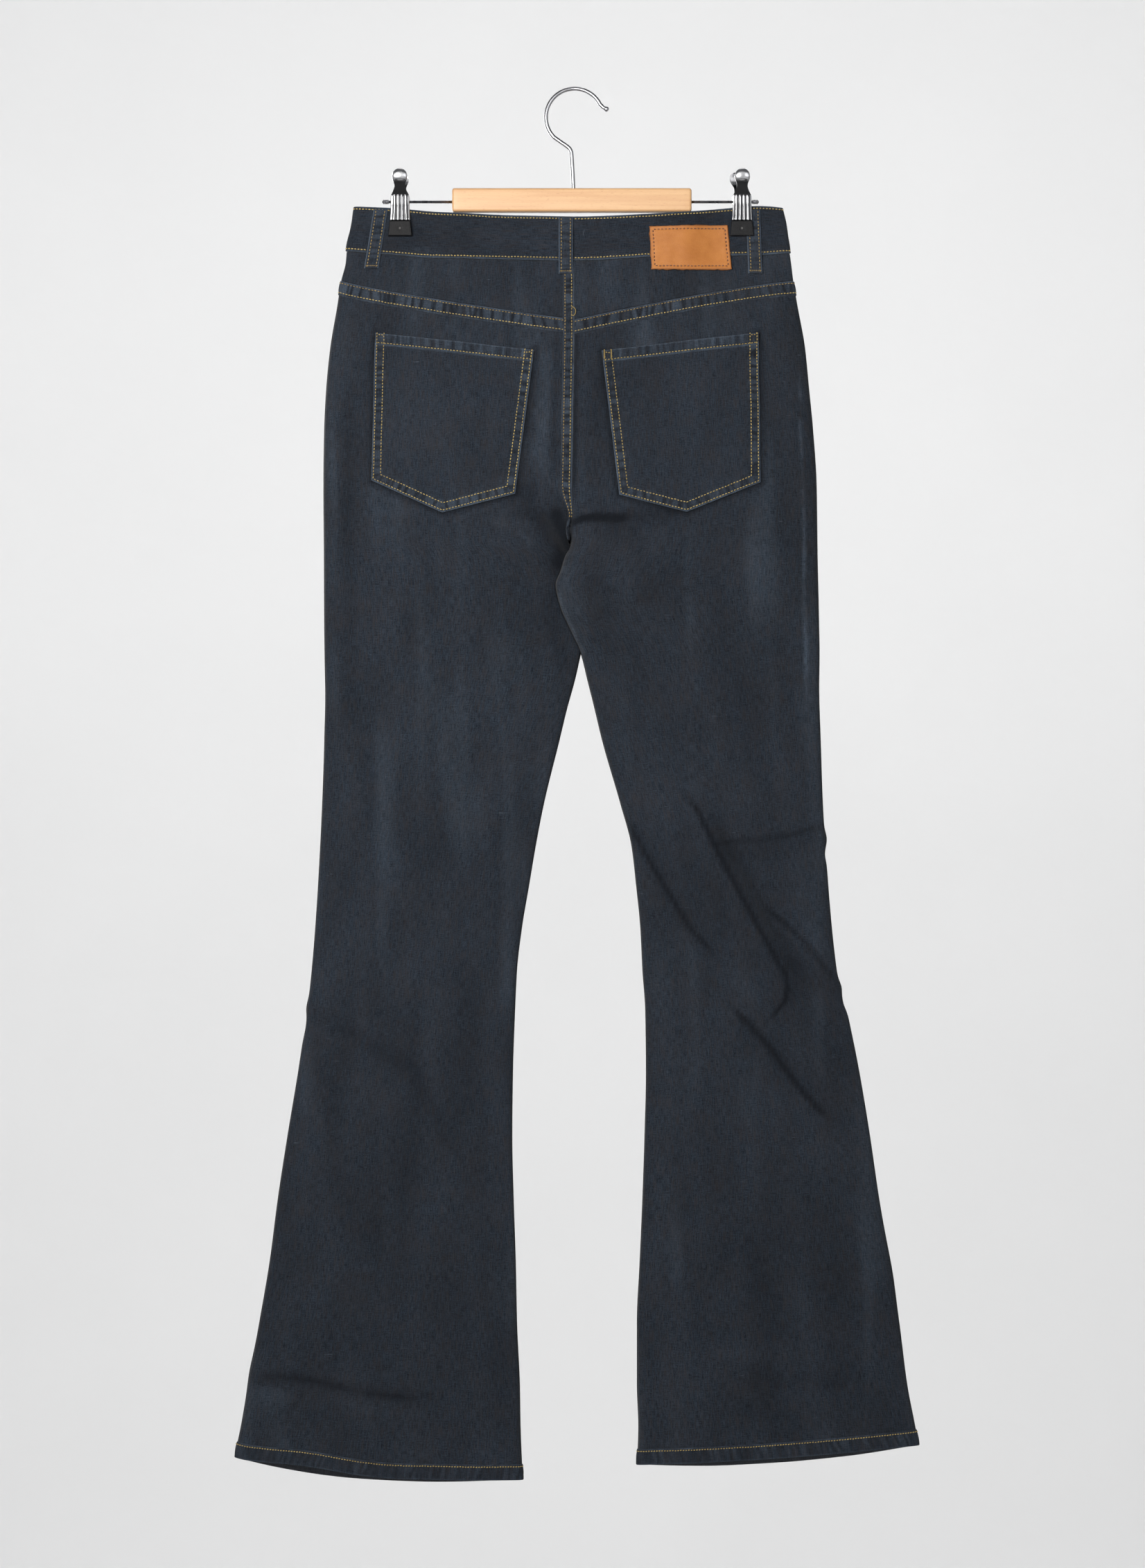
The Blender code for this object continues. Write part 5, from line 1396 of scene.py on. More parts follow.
WIRE_RADIUS = 1.7
HOOK_RADIUS = 24.4
HOOK_ARC_START, HOOK_ARC_END = 27.0, 224.0
HOOK_TIP = [(28.9, 16.6, 0.3), (28.75, 16.5, 0.72), (28.4, 16.3, 1.05), (27.9, 16.1, 1.24), (27.2, 15.8, 1.3),
            (26.5, 15.4, 1.24), (25.8, 15.0, 1.08), (25.2, 14.7, 0.94), (24.4, 14.2, 0.92)]
HOOK_NECK = [(-11.6, 43.9), (-7.2, 46.9), (-4.3, 49.4), (-2.9, 52.4), (-2.4, 57.0), (-1.5, 72.0)]
STEM_X, STEM_END = -0.8, 90.4
BAR_LEFT, BAR_RIGHT = -104.4, 99.7
BAR_TOP, BAR_BOTTOM = 83.8, 103.8
BAR_THICK = 12.0
ROD_RADIUS, ROD_DROP = 1.2, 95.0
ROD_LEFT, ROD_RIGHT = -164.0, 157.0
PAD_TOP, PAD_BOTTOM = 111.9, 124.6
PAD_HALF_TOP, PAD_HALF_BOTTOM = 8.9, 10.2
PAD_INNER, PAD_OUTER = 3.05, 7.6
PAD_OVER_LOOP = 6.1
HEAD_DROP, LEAN_FROM = 75.0, 89.0
PLATE = 1.1

# A lever: drop, outer face's distance from the middle, half width, depth of its rims
LEVER = [
    (68.2, 11.6, 0.8, 0.9), (68.5, 12.0, 2.4, 1.2), (69.2, 12.5, 3.7, 1.6), (70.4, 12.9, 5.0, 2.0),
    (71.8, 13.2, 5.8, 2.2), (73.4, 13.3, 6.3, 2.3), (75.2, 13.2, 6.5, 2.3), (77.0, 12.8, 6.2, 2.2),
    (78.6, 12.3, 5.6, 2.0), (80.0, 11.8, 5.0, 1.8), (81.6, 11.0, 4.6, 1.6), (83.2, 10.3, 4.6, 1.5),
    (84.8, 9.6, 5.1, 1.5), (86.4, 8.9, 5.7, 1.6), (87.6, 8.3, 6.3, 1.8), (88.8, 7.7, 7.0, 2.2),
    (89.8, 7.3, 7.5, 2.7),
    (91.0, 7.0, 7.9, 9.8), (92.4, 6.8, 8.0, 9.8), (94.4, 6.6, 8.0, 9.6), (96.2, 6.5, 8.0, 9.5),
    (97.1, 6.5, 8.0, 9.4),
    (97.7, 6.5, 8.0, 1.6), (99.5, 6.6, 8.1, 1.4), (102.0, 6.7, 8.2, 1.4), (104.5, 6.8, 8.3, 1.4),
    (107.0, 6.9, 8.5, 1.4), (109.0, 7.0, 8.6, 1.4), (110.6, 7.05, 8.7, 1.4), (111.3, 6.9, 8.7, 1.3),
    (111.6, 6.5, 8.6, 1.0),
]
# A rear lever is narrower where the front one hides it: drop and share of the width
REAR_WAIST = [(84, 1.0), (88, 0.88), (91, 0.8), (97, 0.8), (101.5, 0.97), (104, 1.0)]
RIBS = (-4.9, -1.65, 1.65, 4.9)
RIB_HEIGHT, RIB_REACH = 0.55, 0.75
LEVER_COLUMNS = 39  # points across a lever's face


def tube(piece, points, radii, sides=20):
    """A round tube through points, closed at both ends."""
    points = np.asarray(points, float)
    run = np.gradient(points, axis=0)
    run /= np.linalg.norm(run, axis=1, keepdims=True)
    side_way = np.cross(run, [0.0, 1.0, 0.0])
    bad = np.linalg.norm(side_way, axis=1) < 0.2
    side_way[bad] = [0.0, 0.0, 1.0]
    side_way /= np.linalg.norm(side_way, axis=1, keepdims=True)
    other = np.cross(run, side_way)
    angles = 2 * math.pi * np.arange(sides) / sides
    ring = side_way[:, None] * np.cos(angles)[None, :, None] + other[:, None] * np.sin(angles)[None, :, None]
    rings = points[:, None] + ring * np.asarray(radii, float)[:, None, None]
    number = np.arange(len(points) * sides).reshape(len(points), sides)
    closed = np.concatenate([number, number[:, :1]], axis=1)
    faces = [quads(closed), np.array([number[0, ::-1], number[-1]])]
    passed = np.repeat(run_length(points), sides)
    turn = np.tile(np.arange(sides) / sides, len(points))
    piece.add(rings.reshape(-1, 3), faces, np.stack([passed, turn, turn * 0, turn * 0], axis=1))


def curve_through(points, steps):
    """Points on a smooth curve through the given ones."""
    points = np.array(points, float)
    padded = np.concatenate([[2 * points[0] - points[1]], points, [2 * points[-1] - points[-2]]])
    t = np.linspace(0, 1, steps, endpoint=False)[:, None]
    result = []
    for p0, p1, p2, p3 in zip(padded, padded[1:], padded[2:], padded[3:]):
        result.append(
            0.5 * (2 * p1 + (p2 - p0) * t + (2 * p0 - 5 * p1 + 4 * p2 - p3) * t**2
                   + (3 * p1 - p0 - 3 * p2 + p3) * t**3)
        )
    return np.concatenate(result + [points[-1:]])


def hanger_hook(looks):
    centre_drop = HOOK_RADIUS - WIRE_RADIUS
    angles = np.radians(np.linspace(HOOK_ARC_START, HOOK_ARC_END, 90))
    arc = np.stack([HOOK_RADIUS * np.cos(angles), centre_drop - HOOK_RADIUS * np.sin(angles)], axis=1)
    neck = curve_through([arc[-1]] + HOOK_NECK + [(STEM_X, STEM_END)], 10)[1:]
    tip = np.array(HOOK_TIP)
    line = np.concatenate([tip[:, :2], arc, neck])
    radii = np.concatenate([tip[:, 2], np.ones(len(arc) + len(neck))]) * WIRE_RADIUS
    points = np.stack([line[:, 0], 0 * line[:, 0], -line[:, 1]], axis=1)
    piece = Piece("hook_wire")
    tube(piece, points, radii, 24)
    return piece.build(looks["steel"], "chromed_steel", ["hanger_hook"])


def hanger_bar(looks):
    """A beech bar with softened edges, its ends closed by flatter and flatter rings."""
    half_y, half_z = BAR_THICK / 2, (BAR_BOTTOM - BAR_TOP) / 2
    middle = -(BAR_TOP + BAR_BOTTOM) / 2
    soft = 2.2
    outline = []
    for corner_y, corner_z, start in ((1, 1, 0), (-1, 1, 90), (-1, -1, 180), (1, -1, 270)):
        for turn in np.radians(np.linspace(start, start + 90, 8)):
            outline.append((corner_y * (half_y - soft) + soft * math.cos(turn),
                            corner_z * (half_z - soft) + soft * math.sin(turn)))
    outline = np.array(outline)
    inset = soft * (1 - np.sin(np.linspace(0, math.pi / 2, 9)))
    end_x = soft * (1 - np.cos(np.linspace(0, math.pi / 2, 9)))
    between_ends = np.linspace(BAR_LEFT, BAR_RIGHT, 60)[2:-2]
    xs = np.concatenate([BAR_LEFT + end_x, between_ends, (BAR_RIGHT - end_x)[::-1]])
    insets = np.concatenate([inset, np.zeros(56), inset[::-1]])
    rings = []
    for x, less in zip(xs, insets):
        scale = 1 - less / np.array([half_y, half_z])
        ring = outline * scale
        rings.append(np.column_stack([np.full(len(ring), x), ring[:, 0], ring[:, 1] + middle]))
    sides = len(outline)
    points = np.concatenate(rings)
    number = np.arange(len(points)).reshape(len(rings), sides)
    closed = np.concatenate([number, number[:, :1]], axis=1)
    piece = Piece("bar_beech")
    marks = np.column_stack([points[:, 0], points[:, 1] + points[:, 2], 0 * points[:, :2]])
    piece.add(points, [quads(closed), np.array([number[0, ::-1], number[-1]])], marks)
    return piece.build(looks["beech"], "beech", ["hanger_bar"])


def hanger_rod(looks):
    """The rod, with a ring pressed on near each end."""
    xs = [ROD_LEFT, ROD_LEFT + 0.25]
    radii = [0.75, ROD_RADIUS]
    for start in (ROD_LEFT + 0.8, ROD_RIGHT - 5.4):
        for ring in range(4):
            x = start + 1.2 * ring
            xs += [x, x + 0.25, x + 0.75, x + 1.0]
            radii += [ROD_RADIUS, ROD_RADIUS + 0.75, ROD_RADIUS + 0.75, ROD_RADIUS]
    xs += [ROD_RIGHT - 0.25, ROD_RIGHT]
    radii += [ROD_RADIUS, 0.75]
    piece = Piece("rod_steel")
    xs = np.array(xs)
    tube(piece, np.column_stack([xs, 0 * xs, 0 * xs - ROD_DROP]), radii, 20)
    # The rod's chrome takes a darker colour, a painted dark reflection
    return piece.build(looks["chrome_painted_dark"], "chromed_steel", ["hanger_rod"])


def lever(side, end, facing, looks):
    """A stamped lever: a ribbed plate with a domed head and rims turned in, which form ears round the rod."""
    centre_x, lean = CLIPS[side]
    lean = lean if end == "rear" else 0.0
    rows = np.array(LEVER)
    dense = np.interp(np.linspace(0, len(rows) - 1, 2 * len(rows) - 1), np.arange(len(rows)), rows[:, 0])
    table = [np.interp(dense, rows[:, 0], rows[:, i]) for i in (1, 2, 3)]
    points = []
    marks = []
    for drop, face, half, rim in zip(dense, *table):
        if end == "rear":
            half = half * np.interp(drop, *np.array(REAR_WAIST).T)
        shift = lean * max(0.0, LEAN_FROM - drop) / (LEAN_FROM - HEAD_DROP)
        t = np.linspace(-1, 1, LEVER_COLUMNS)
        domed = ease((79.5 - drop) / 3) * 1.7 * np.sqrt(np.clip(1 - t**2, 0, 1))
        ribbed = ease((drop - 89) / 3)
        ribs = sum(np.exp(-(((t * half - r * half / 8.2) / RIB_REACH) ** 2)) for r in RIBS)
        rib = ribbed * RIB_HEIGHT * ribs
        corner = 0.7 * (1 - np.sqrt(1 - np.clip((np.abs(t) * half - half + 0.9) / 0.9, 0, 1) ** 2))
        outer = np.column_stack([t * half, face + domed + rib - corner - 0.2])
        wall = min(PLATE, half * 0.8)
        under = [
            (half, face - rim), (half - wall, face - rim), (half - wall, face - PLATE),
            (-half + wall, face - PLATE), (-half + wall, face - rim), (-half, face - rim),
        ]
        ring = np.concatenate([outer, under])
        xs = centre_x + shift + ring[:, 0]
        points.append(np.column_stack([xs, facing * ring[:, 1], np.full(len(ring), -drop)]))
        # Painted reflections: a bright domed head with a darker middle and a dark outer ring, bright ribs and
        # rims, dark between them
        from_dome = np.hypot(ring[:, 0], drop - 74.4)
        head = ease((79.2 - drop) / 1.2) * (0.85 - 0.35 * np.exp(-((from_dome / 2.2) ** 4)))
        head = head * ease((6.9 - from_dome) / 1.0)
        bright = np.concatenate([rib / RIB_HEIGHT, np.zeros(len(under))])
        rims = np.exp(-(((np.abs(ring[:, 0]) - half) / 0.8) ** 2)) * (drop > 90)
        marks.append(np.clip(head + bright**4 + rims, 0, 1))
    sides = len(points[0])
    number = np.arange(len(points) * sides).reshape(len(points), sides)
    closed = np.concatenate([number, number[:, :1]], axis=1)
    piece = Piece(f"lever_{side}_{end}")
    points = np.concatenate(points)
    marks = np.column_stack([points[:, 0], points[:, 2], np.concatenate(marks), 0 * points[:, 0]])
    piece.add(points, [quads(closed), np.array([number[0, ::-1], number[-1]])], marks)
    made = piece.build(looks["lever"], "chromed_steel", [f"clip_{side}_{end}_lever"])
    made.data.set_sharp_from_angle(angle=math.radians(48))
    return made


def pad(side, end, facing, looks):
    """A rubber pad with softened edges and a small dimple with a moulded dot in its middle."""
    centre_x, _ = CLIPS[side]
    inner_right = PAD_OVER_LOOP if (side, end) == ("right", "front") else PAD_INNER
    across = crowded(-1, 1, 0.075, [(-1, 0.06), (1, 0.06), (0, 0.12)])
    down = crowded(0, 1, 0.05, [(0, 0.06), (1, 0.06), (0.5, 0.1)])
    s, t = np.meshgrid(across, down)
    half = PAD_HALF_TOP + (PAD_HALF_BOTTOM - PAD_HALF_TOP) * t
    high = PAD_BOTTOM - PAD_TOP
    edge = np.minimum((1 - np.abs(s)) * half, np.minimum(t, 1 - t) * high)
    from_dot = np.hypot(s * half, (t - 0.5) * high)
    face = PAD_OUTER - 0.9 + 0.9 * rounded(edge, 0.9)
    face = face - 0.25 * np.exp(-((from_dot / 2.4) ** 4)) + 0.45 * np.exp(-((from_dot / 1.0) ** 4))
    inner = PAD_INNER + (inner_right - PAD_INNER) * ease(s * 0.8 + 0.5)
    inner = inner + 0.5 - 0.5 * rounded(edge, 0.6)
    x, z = centre_x + s * half, -(PAD_TOP + t * high)
    piece = Piece(f"pad_{side}_{end}")
    grids = [np.stack([x, facing * depth, z], axis=-1) for depth in (face, inner)]
    piece.shell(*grids, x, z, np.exp(-((from_dot / 0.9) ** 4)))
    return piece.build(looks["rubber"], "black_rubber", [f"clip_{side}_{end}_pad"])


BUTTON_X, BUTTON_SEAT = -1.0, 0.7
# Radius and height of the button's turned rings
BUTTON = [(0.01, 0.0), (5.0, 0.0), (7.3, 0.05), (8.1, 0.35), (8.5, 0.9), (8.5, 1.7), (8.25, 2.4),
          (7.7, 2.85), (7.1, 2.9),
          (6.7, 2.6), (6.3, 2.45), (5.8, 2.5), (5.5, 2.75), (5.2, 2.75), (4.9, 2.5), (4.4, 2.6),
          (3.4, 3.2), (2.2, 3.5),
          (1.0, 3.6), (0.01, 3.62)]


def waist_button(looks):
    top = float(band_edge("top", "left", "front", 1.0))
    bottom = float(band_edge("bottom", "left", "front", 1.0))
    drop = (top + bottom) / 2
    surface = cloth("left", "front", np.array([1.0]), np.array([drop]))[0]
    rings = np.array(BUTTON)
    y = surface[1] + BAND_RAISE + BUTTON_SEAT + rings[:, 1]
    sides = 64
    angles = 2 * math.pi * np.arange(sides) / sides
    x = BUTTON_X + rings[:, :1] * np.cos(angles)
    z = -drop + rings[:, :1] * np.sin(angles)
    points = np.stack([x, np.broadcast_to(y[:, None], x.shape), z], axis=-1).reshape(-1, 3)
    number = np.arange(len(points)).reshape(len(rings), sides)
    closed = np.concatenate([number, number[:, :1]], axis=1)
    piece = Piece("button_brass")
    marks = np.column_stack([points[:, 0], points[:, 2], 0 * points[:, :2]])
    piece.add(points, [quads(closed), np.array([number[0, ::-1], number[-1]])], marks)
    return piece.build(looks["brass"], "aged_brass", ["waist_button"])


# ---------------------------------------------------------------- finishes

class Look:
    """A material made of nodes."""

    def __init__(self, name, **sockets):
        self.material = bpy.data.materials.new(name)
        self.material.use_nodes = True
        self.tree = self.material.node_tree
        self.shader = self.tree.nodes["Principled BSDF"]
        for socket, value in sockets.items():
            self.set(self.shader, socket.replace("_", " "), value)

    def set(self, node, socket, value):
        if isinstance(value, bpy.types.NodeSocket):
            self.tree.links.new(value, node.inputs[socket])
        elif isinstance(value, tuple) and len(value) == 3 and node.inputs[socket].type == "RGBA":
            node.inputs[socket].default_value = (*value, 1)
        else:
            node.inputs[socket].default_value = value

    def node(self, kind, settings=None, **sockets):
        node = self.tree.nodes.new("ShaderNode" + kind)
        for name, value in (settings or {}).items():
            setattr(node, name, value)
        for socket, value in sockets.items():
            self.set(node, socket.replace("_", " "), value)
        return node

    def mark(self, name):
        return self.node("Attribute", {"attribute_name": name}).outputs["Fac"]

    def stretched(self, vector, x, y, z=1.0):
        return self.node("Mapping", Vector=vector, Scale=(x, y, z)).outputs[0]

    def noise(self, vector, scale=1.0, detail=2.0, roughness=0.5):
        made = self.node("TexNoise", Vector=vector, Scale=scale, Detail=detail, Roughness=roughness)
        return made.outputs["Fac"]

    def math(self, operation, first, second=0.0, clamp=False):
        node = self.node("Math", {"operation": operation, "use_clamp": clamp})
        self.set(node, 0, first)
        self.set(node, 1, second)
        return node.outputs[0]

    def spread(self, value, low, high, to_low=0.0, to_high=1.0):
        node = self.node("MapRange", Value=value)
        limits = {"From Min": low, "From Max": high, "To Min": to_low, "To Max": to_high}
        for socket, number in limits.items():
            node.inputs[socket].default_value = number
        return node.outputs[0]

    def mix(self, share, first, second, blend="MIX"):
        node = self.node("Mix", {"data_type": "RGBA", "blend_type": blend})
        self.set(node, 0, share)
        self.set(node, 6, first)
        self.set(node, 7, second)
        return node.outputs[2]

    def bump(self, height, depth, strength=1.0):
        node = self.node("Bump", Height=height, Distance=depth, Strength=strength)
        self.set(self.shader, "Normal", node.outputs[0])


DENIM_DARK, DENIM_MID = (0.0060, 0.0082, 0.0122), (0.0278, 0.0374, 0.0520)
DENIM_BROWN = (0.0262, 0.0233, 0.0243)
DENIM_FADED, DENIM_INSIDE = (0.13, 0.175, 0.235), (0.075, 0.08, 0.092)


def denim():
    look = Look("denim_dark_navy", Roughness=0.88, Specular_IOR_Level=0.08,
                Sheen_Weight=0.06, Sheen_Roughness=0.5)
    woven = look.node("UVMap", {"uv_map": "woven"}).outputs[0]
    warp = look.noise(look.stretched(woven, 1700, 120), detail=2.0, roughness=0.6)
    weft = look.noise(look.stretched(woven, 200, 1700), detail=2.0, roughness=0.6)
    fine = look.noise(look.stretched(woven, 1500, 900), detail=1.0)
    cloud = look.noise(look.stretched(woven, 32, 10), detail=3.0)
    hue = look.noise(look.stretched(woven, 60, 24), detail=1.0)
    ends = look.noise(look.stretched(woven, 1100, 70), detail=1.0)
    cross = look.math("ADD", look.math("MULTIPLY", warp, 0.42), look.math("MULTIPLY", weft, 0.34))
    cross = look.math("ADD", cross, look.math("MULTIPLY", fine, 0.24))
    tone = look.spread(cross, 0.385, 0.635)
    colour = look.mix(tone, DENIM_DARK, DENIM_MID)
    colour = look.mix(look.spread(hue, 0.42, 0.72, 0.0, 0.2), colour, DENIM_BROWN)
    colour = look.mix(look.spread(ends, 0.48, 0.66, 0.0, 0.5), colour, DENIM_BROWN)
    shade = look.spread(cloud, 0.3, 0.7, 0.82, 1.18)
    grey = look.node("CombineColor", Red=shade, Green=shade, Blue=shade).outputs[0]
    colour = look.mix(1.0, colour, grey, "MULTIPLY")
    slub = look.noise(look.stretched(woven, 95, 900), detail=1.0)
    rare = look.noise(look.stretched(woven, 40, 60), detail=1.0)
    slubs = look.math("MULTIPLY", look.spread(slub, 0.72, 0.8), look.spread(rare, 0.58, 0.68))
    colour = look.mix(look.math("MULTIPLY", slubs, 0.35), colour, (0.16, 0.2, 0.25))
    worn = look.math("MULTIPLY", look.mark("faded"), look.spread(cross, 0.34, 0.62, 0.25, 1.0), clamp=True)
    colour = look.mix(look.math("MULTIPLY", worn, 0.85), colour, DENIM_FADED)
    # Marks below 0 darken the denim: painted shade in hollows, folds and beside pockets, and a darker tone on the
    # waistband
    painted_shade_and_dark_tone = look.math("MULTIPLY", look.mark("faded"), -0.82, clamp=True)
    colour = look.mix(painted_shade_and_dark_tone, colour, (0.003, 0.004, 0.006))
    inside = look.mix(tone, (0.04, 0.044, 0.052), DENIM_INSIDE)
    colour = look.mix(look.mark("wrong_side"), colour, inside)
    look.set(look.shader, "Base Color", colour)
    look.set(look.shader, "Roughness", look.spread(cross, 0.3, 0.7, 0.95, 0.8))
    slanted = look.node("Mapping", Vector=woven, Rotation=(0, 0, math.radians(-58))).outputs[0]
    bands = {"wave_type": "BANDS"}
    twill = look.node("TexWave", bands, Vector=slanted, Scale=450, Distortion=1.2, Detail=1.0, Detail_Scale=40)
    twill = twill.outputs["Fac"]
    height = look.math("ADD", look.math("MULTIPLY", twill, 0.45), look.math("MULTIPLY", cross, 1.2))
    look.bump(height, 0.00022)
    return look.material


def thread(name, dark, light):
    look = Look(name, Roughness=0.55, Specular_IOR_Level=0.4, Sheen_Weight=0.3, Sheen_Roughness=0.4)
    woven = look.node("UVMap", {"uv_map": "woven"}).outputs[0]
    turned = look.node("Mapping", Vector=woven, Rotation=(0, 0, math.radians(35)), Scale=(1, 1000, 1)).outputs[0]
    ply = look.node("TexWave", {"wave_type": "BANDS"}, Vector=turned, Scale=560).outputs["Fac"]
    uneven = look.noise(look.stretched(woven, 60, 60), detail=2.0)
    colour = look.mix(look.spread(ply, 0.2, 0.9), dark, light)
    colour = look.mix(look.spread(uneven, 0.4, 0.7, 0.0, 0.45), colour, dark)
    look.set(look.shader, "Base Color", colour)
    look.bump(ply, 0.00006)
    return look.material


def leather():
    look = Look("patch_tan_leather", Roughness=0.62, Specular_IOR_Level=0.35)
    woven = look.node("UVMap", {"uv_map": "woven"}).outputs[0]
    blotch = look.noise(look.stretched(woven, 70, 70), detail=4.0, roughness=0.6)
    grain = look.noise(look.stretched(woven, 900, 900), detail=3.0, roughness=0.65)
    streak = look.noise(look.stretched(woven, 60, 420), detail=2.0)
    colour = look.mix(look.spread(blotch, 0.32, 0.7), (0.35, 0.121, 0.022), (0.417, 0.156, 0.033))
    colour = look.mix(look.spread(streak, 0.5, 0.75, 0.0, 0.25), colour, (0.40, 0.145, 0.04))
    colour = look.mix(look.math("MULTIPLY", look.mark("faded"), 0.7), colour, (0.17, 0.062, 0.022))
    look.set(look.shader, "Base Color", colour)
    look.set(look.shader, "Roughness", look.spread(grain, 0.3, 0.7, 0.7, 0.5))
    look.bump(look.math("ADD", grain, look.math("MULTIPLY", streak, 0.6)), 0.00025)
    return look.material


def beech():
    look = Look("beech_pale", Roughness=0.48, Coat_Weight=0.15, Coat_Roughness=0.3)
    place = look.node("TexCoord").outputs["Object"]
    grain = look.noise(look.stretched(place, 9, 300, 300), detail=3.0)
    fleck = look.noise(look.stretched(place, 240, 1500, 1500), detail=1.0)
    broad = look.noise(look.stretched(place, 12, 70, 70), detail=2.0)
    colour = look.mix(look.spread(grain, 0.3, 0.7), (0.50, 0.27, 0.123), (0.59, 0.357, 0.176))
    colour = look.mix(look.spread(fleck, 0.62, 0.74, 0.0, 0.55), colour, (0.35, 0.165, 0.065))
    colour = look.mix(look.spread(broad, 0.35, 0.7, 0.0, 0.35), colour, (0.64, 0.41, 0.215))
    look.set(look.shader, "Base Color", colour)
    look.bump(look.math("ADD", grain, fleck), 0.00008)
    return look.material


def steel(name, colour, roughness, marked=False):
    """Steel. A marked one has painted reflections: dark between its bright ribs and rims."""
    look = Look(name, Metallic=1.0, Roughness=roughness)
    place = look.node("TexCoord").outputs["Object"]
    wear = look.noise(look.stretched(place, 220, 220, 90), detail=3.0)
    worn = look.mix(look.spread(wear, 0.4, 0.75, 0.0, 0.3), colour, tuple(c * 0.72 for c in colour))
    if marked:
        # Where the mark is low the steel is painted dark, a painted dark reflection
        worn = look.mix(look.mark("faded"), (0.045, 0.045, 0.047), worn)
    look.set(look.shader, "Base Color", worn)
    look.set(look.shader, "Roughness", look.spread(wear, 0.35, 0.7, roughness * 0.7, roughness * 1.5))
    look.bump(wear, 0.00002)
    return look.material


def rubber():
    look = Look("rubber_black", Roughness=0.62, Specular_IOR_Level=0.18)
    place = look.node("TexCoord").outputs["Object"]
    grain = look.noise(look.stretched(place, 1400, 1400, 1400), detail=2.0)
    colour = look.mix(look.spread(grain, 0.35, 0.7), (0.005, 0.005, 0.0055), (0.012, 0.012, 0.013))
    look.set(look.shader, "Base Color", look.mix(look.mark("faded"), colour, (0.10, 0.097, 0.094)))
    look.bump(grain, 0.00006)
    return look.material


def brass():
    look = Look("brass_aged", Metallic=1.0, Roughness=0.34)
    place = look.node("TexCoord").outputs["Object"]
    tarnish = look.noise(look.stretched(place, 420, 420, 420), detail=4.0)
    colour = look.mix(look.spread(tarnish, 0.35, 0.7), (0.55, 0.40, 0.20), (0.26, 0.17, 0.08))
    look.set(look.shader, "Base Color", colour)
    look.set(look.shader, "Roughness", look.spread(tarnish, 0.35, 0.7, 0.26, 0.5))
    look.bump(tarnish, 0.00004)
    return look.material


# ---------------------------------------------------------------- stage, light and camera

PIXEL = 0.59  # millimetres in the plane of the jeans for each pixel of the photograph's width
PHOTO_WIDE, PHOTO_HIGH = 1652, 2263
ORIGIN_ACROSS, ORIGIN_DOWN = 829, 129  # the origin's place in the photograph, in pixels
CAMERA_AWAY, SHARP_PLANE = 3200.0, 6.0  # the photograph's scale holds this far in front of the origin
SENSOR = 36.0
FLOOR_DROP, STAGE_REACH, STAGE_HIGH = 3200.0, 7600.0, 7400.0


def stage():
    """A pale floor that curves up into a pale wall all round."""
    corner = 2400.0
    turn = np.linspace(0, math.pi / 2, 13)
    radius = np.concatenate([[0, 1500, 3200], STAGE_REACH - corner + corner * np.sin(turn), [STAGE_REACH]])
    height = np.concatenate([[0, 0, 0], corner * (1 - np.cos(turn)), [STAGE_HIGH]]) - FLOOR_DROP
    sides = 72
    angles = 2 * math.pi * np.arange(sides) / sides
    points = []
    for r, z in zip(radius[1:], height[1:]):
        points += [(r * math.cos(a) * MM, r * math.sin(a) * MM, z * MM) for a in angles]
    points.append((0, 0, height[0] * MM))
    number = np.arange(len(points) - 1).reshape(-1, sides)
    closed = np.concatenate([number, number[:, :1]], axis=1)
    faces = [tuple(int(i) for i in quad) for quad in quads(closed)]
    middle = len(points) - 1
    faces += [(middle, int(closed[0, i]), int(closed[0, i + 1])) for i in range(sides)]
    mesh = bpy.data.meshes.new("studio_floor")
    mesh.from_pydata(points, [], faces)
    mesh.shade_smooth()
    floor = bpy.data.objects.new("studio_floor", mesh)
    bpy.context.scene.collection.objects.link(floor)
    look = Look("studio_pale", Roughness=0.9)
    place = look.node("TexCoord").outputs["Object"]
    mottle = look.noise(look.stretched(place, 1.5, 1.5, 1.5), detail=2.0)
    look.set(look.shader, "Base Color", look.mix(mottle, (0.80, 0.80, 0.80), (0.84, 0.84, 0.84)))
    mesh.materials.append(look.material)


def lamp(name, place, target, size, power, colour=(1.0, 1.0, 1.0)):
    light = bpy.data.lights.new(name, "AREA")
    light.shape = "DISK"
    light.size = size
    light.energy = power
    light.color = colour
    made = bpy.data.objects.new(name, light)
    made.location = place
    made.rotation_mode = "QUATERNION"
    made.rotation_quaternion = (Vector(target) - Vector(place)).to_track_quat("-Z", "Y")
    made.visible_camera = False
    bpy.context.scene.collection.objects.link(made)


def lights():
    centre = (0.0, 0.0, -0.6)
    lamp("key", (-0.5, -1.5, -0.1), (0.0, 0.0, -0.55), 0.8, 31.5, (1.0, 0.985, 0.965))
    lamp("fill", (2.2, -3.6, 0.2), centre, 2.6, 14.0, (0.95, 0.975, 1.0))
    lamp("wall", (0.0, 2.6, 1.5), (0.0, 8.0, -0.9), 2.4, 186.0)
    lamp("wall_near", (0.0, -4.4, 1.5), (0.0, -8.0, -0.9), 2.4, 120.0)
    lamp("front", (-1.1, 2.5, 0.1), centre, 1.2, 30.0)
    lamp("top", (0.0, 0.3, 3.6), centre, 2.6, 14.0)
    world = bpy.data.worlds.new("studio")
    world.use_nodes = True
    world.node_tree.nodes["Background"].inputs["Color"].default_value = (0.95, 0.97, 1.0, 1)
    world.node_tree.nodes["Background"].inputs["Strength"].default_value = 0.12
    bpy.context.scene.world = world
    bpy.context.scene.view_settings.view_transform = "Standard"


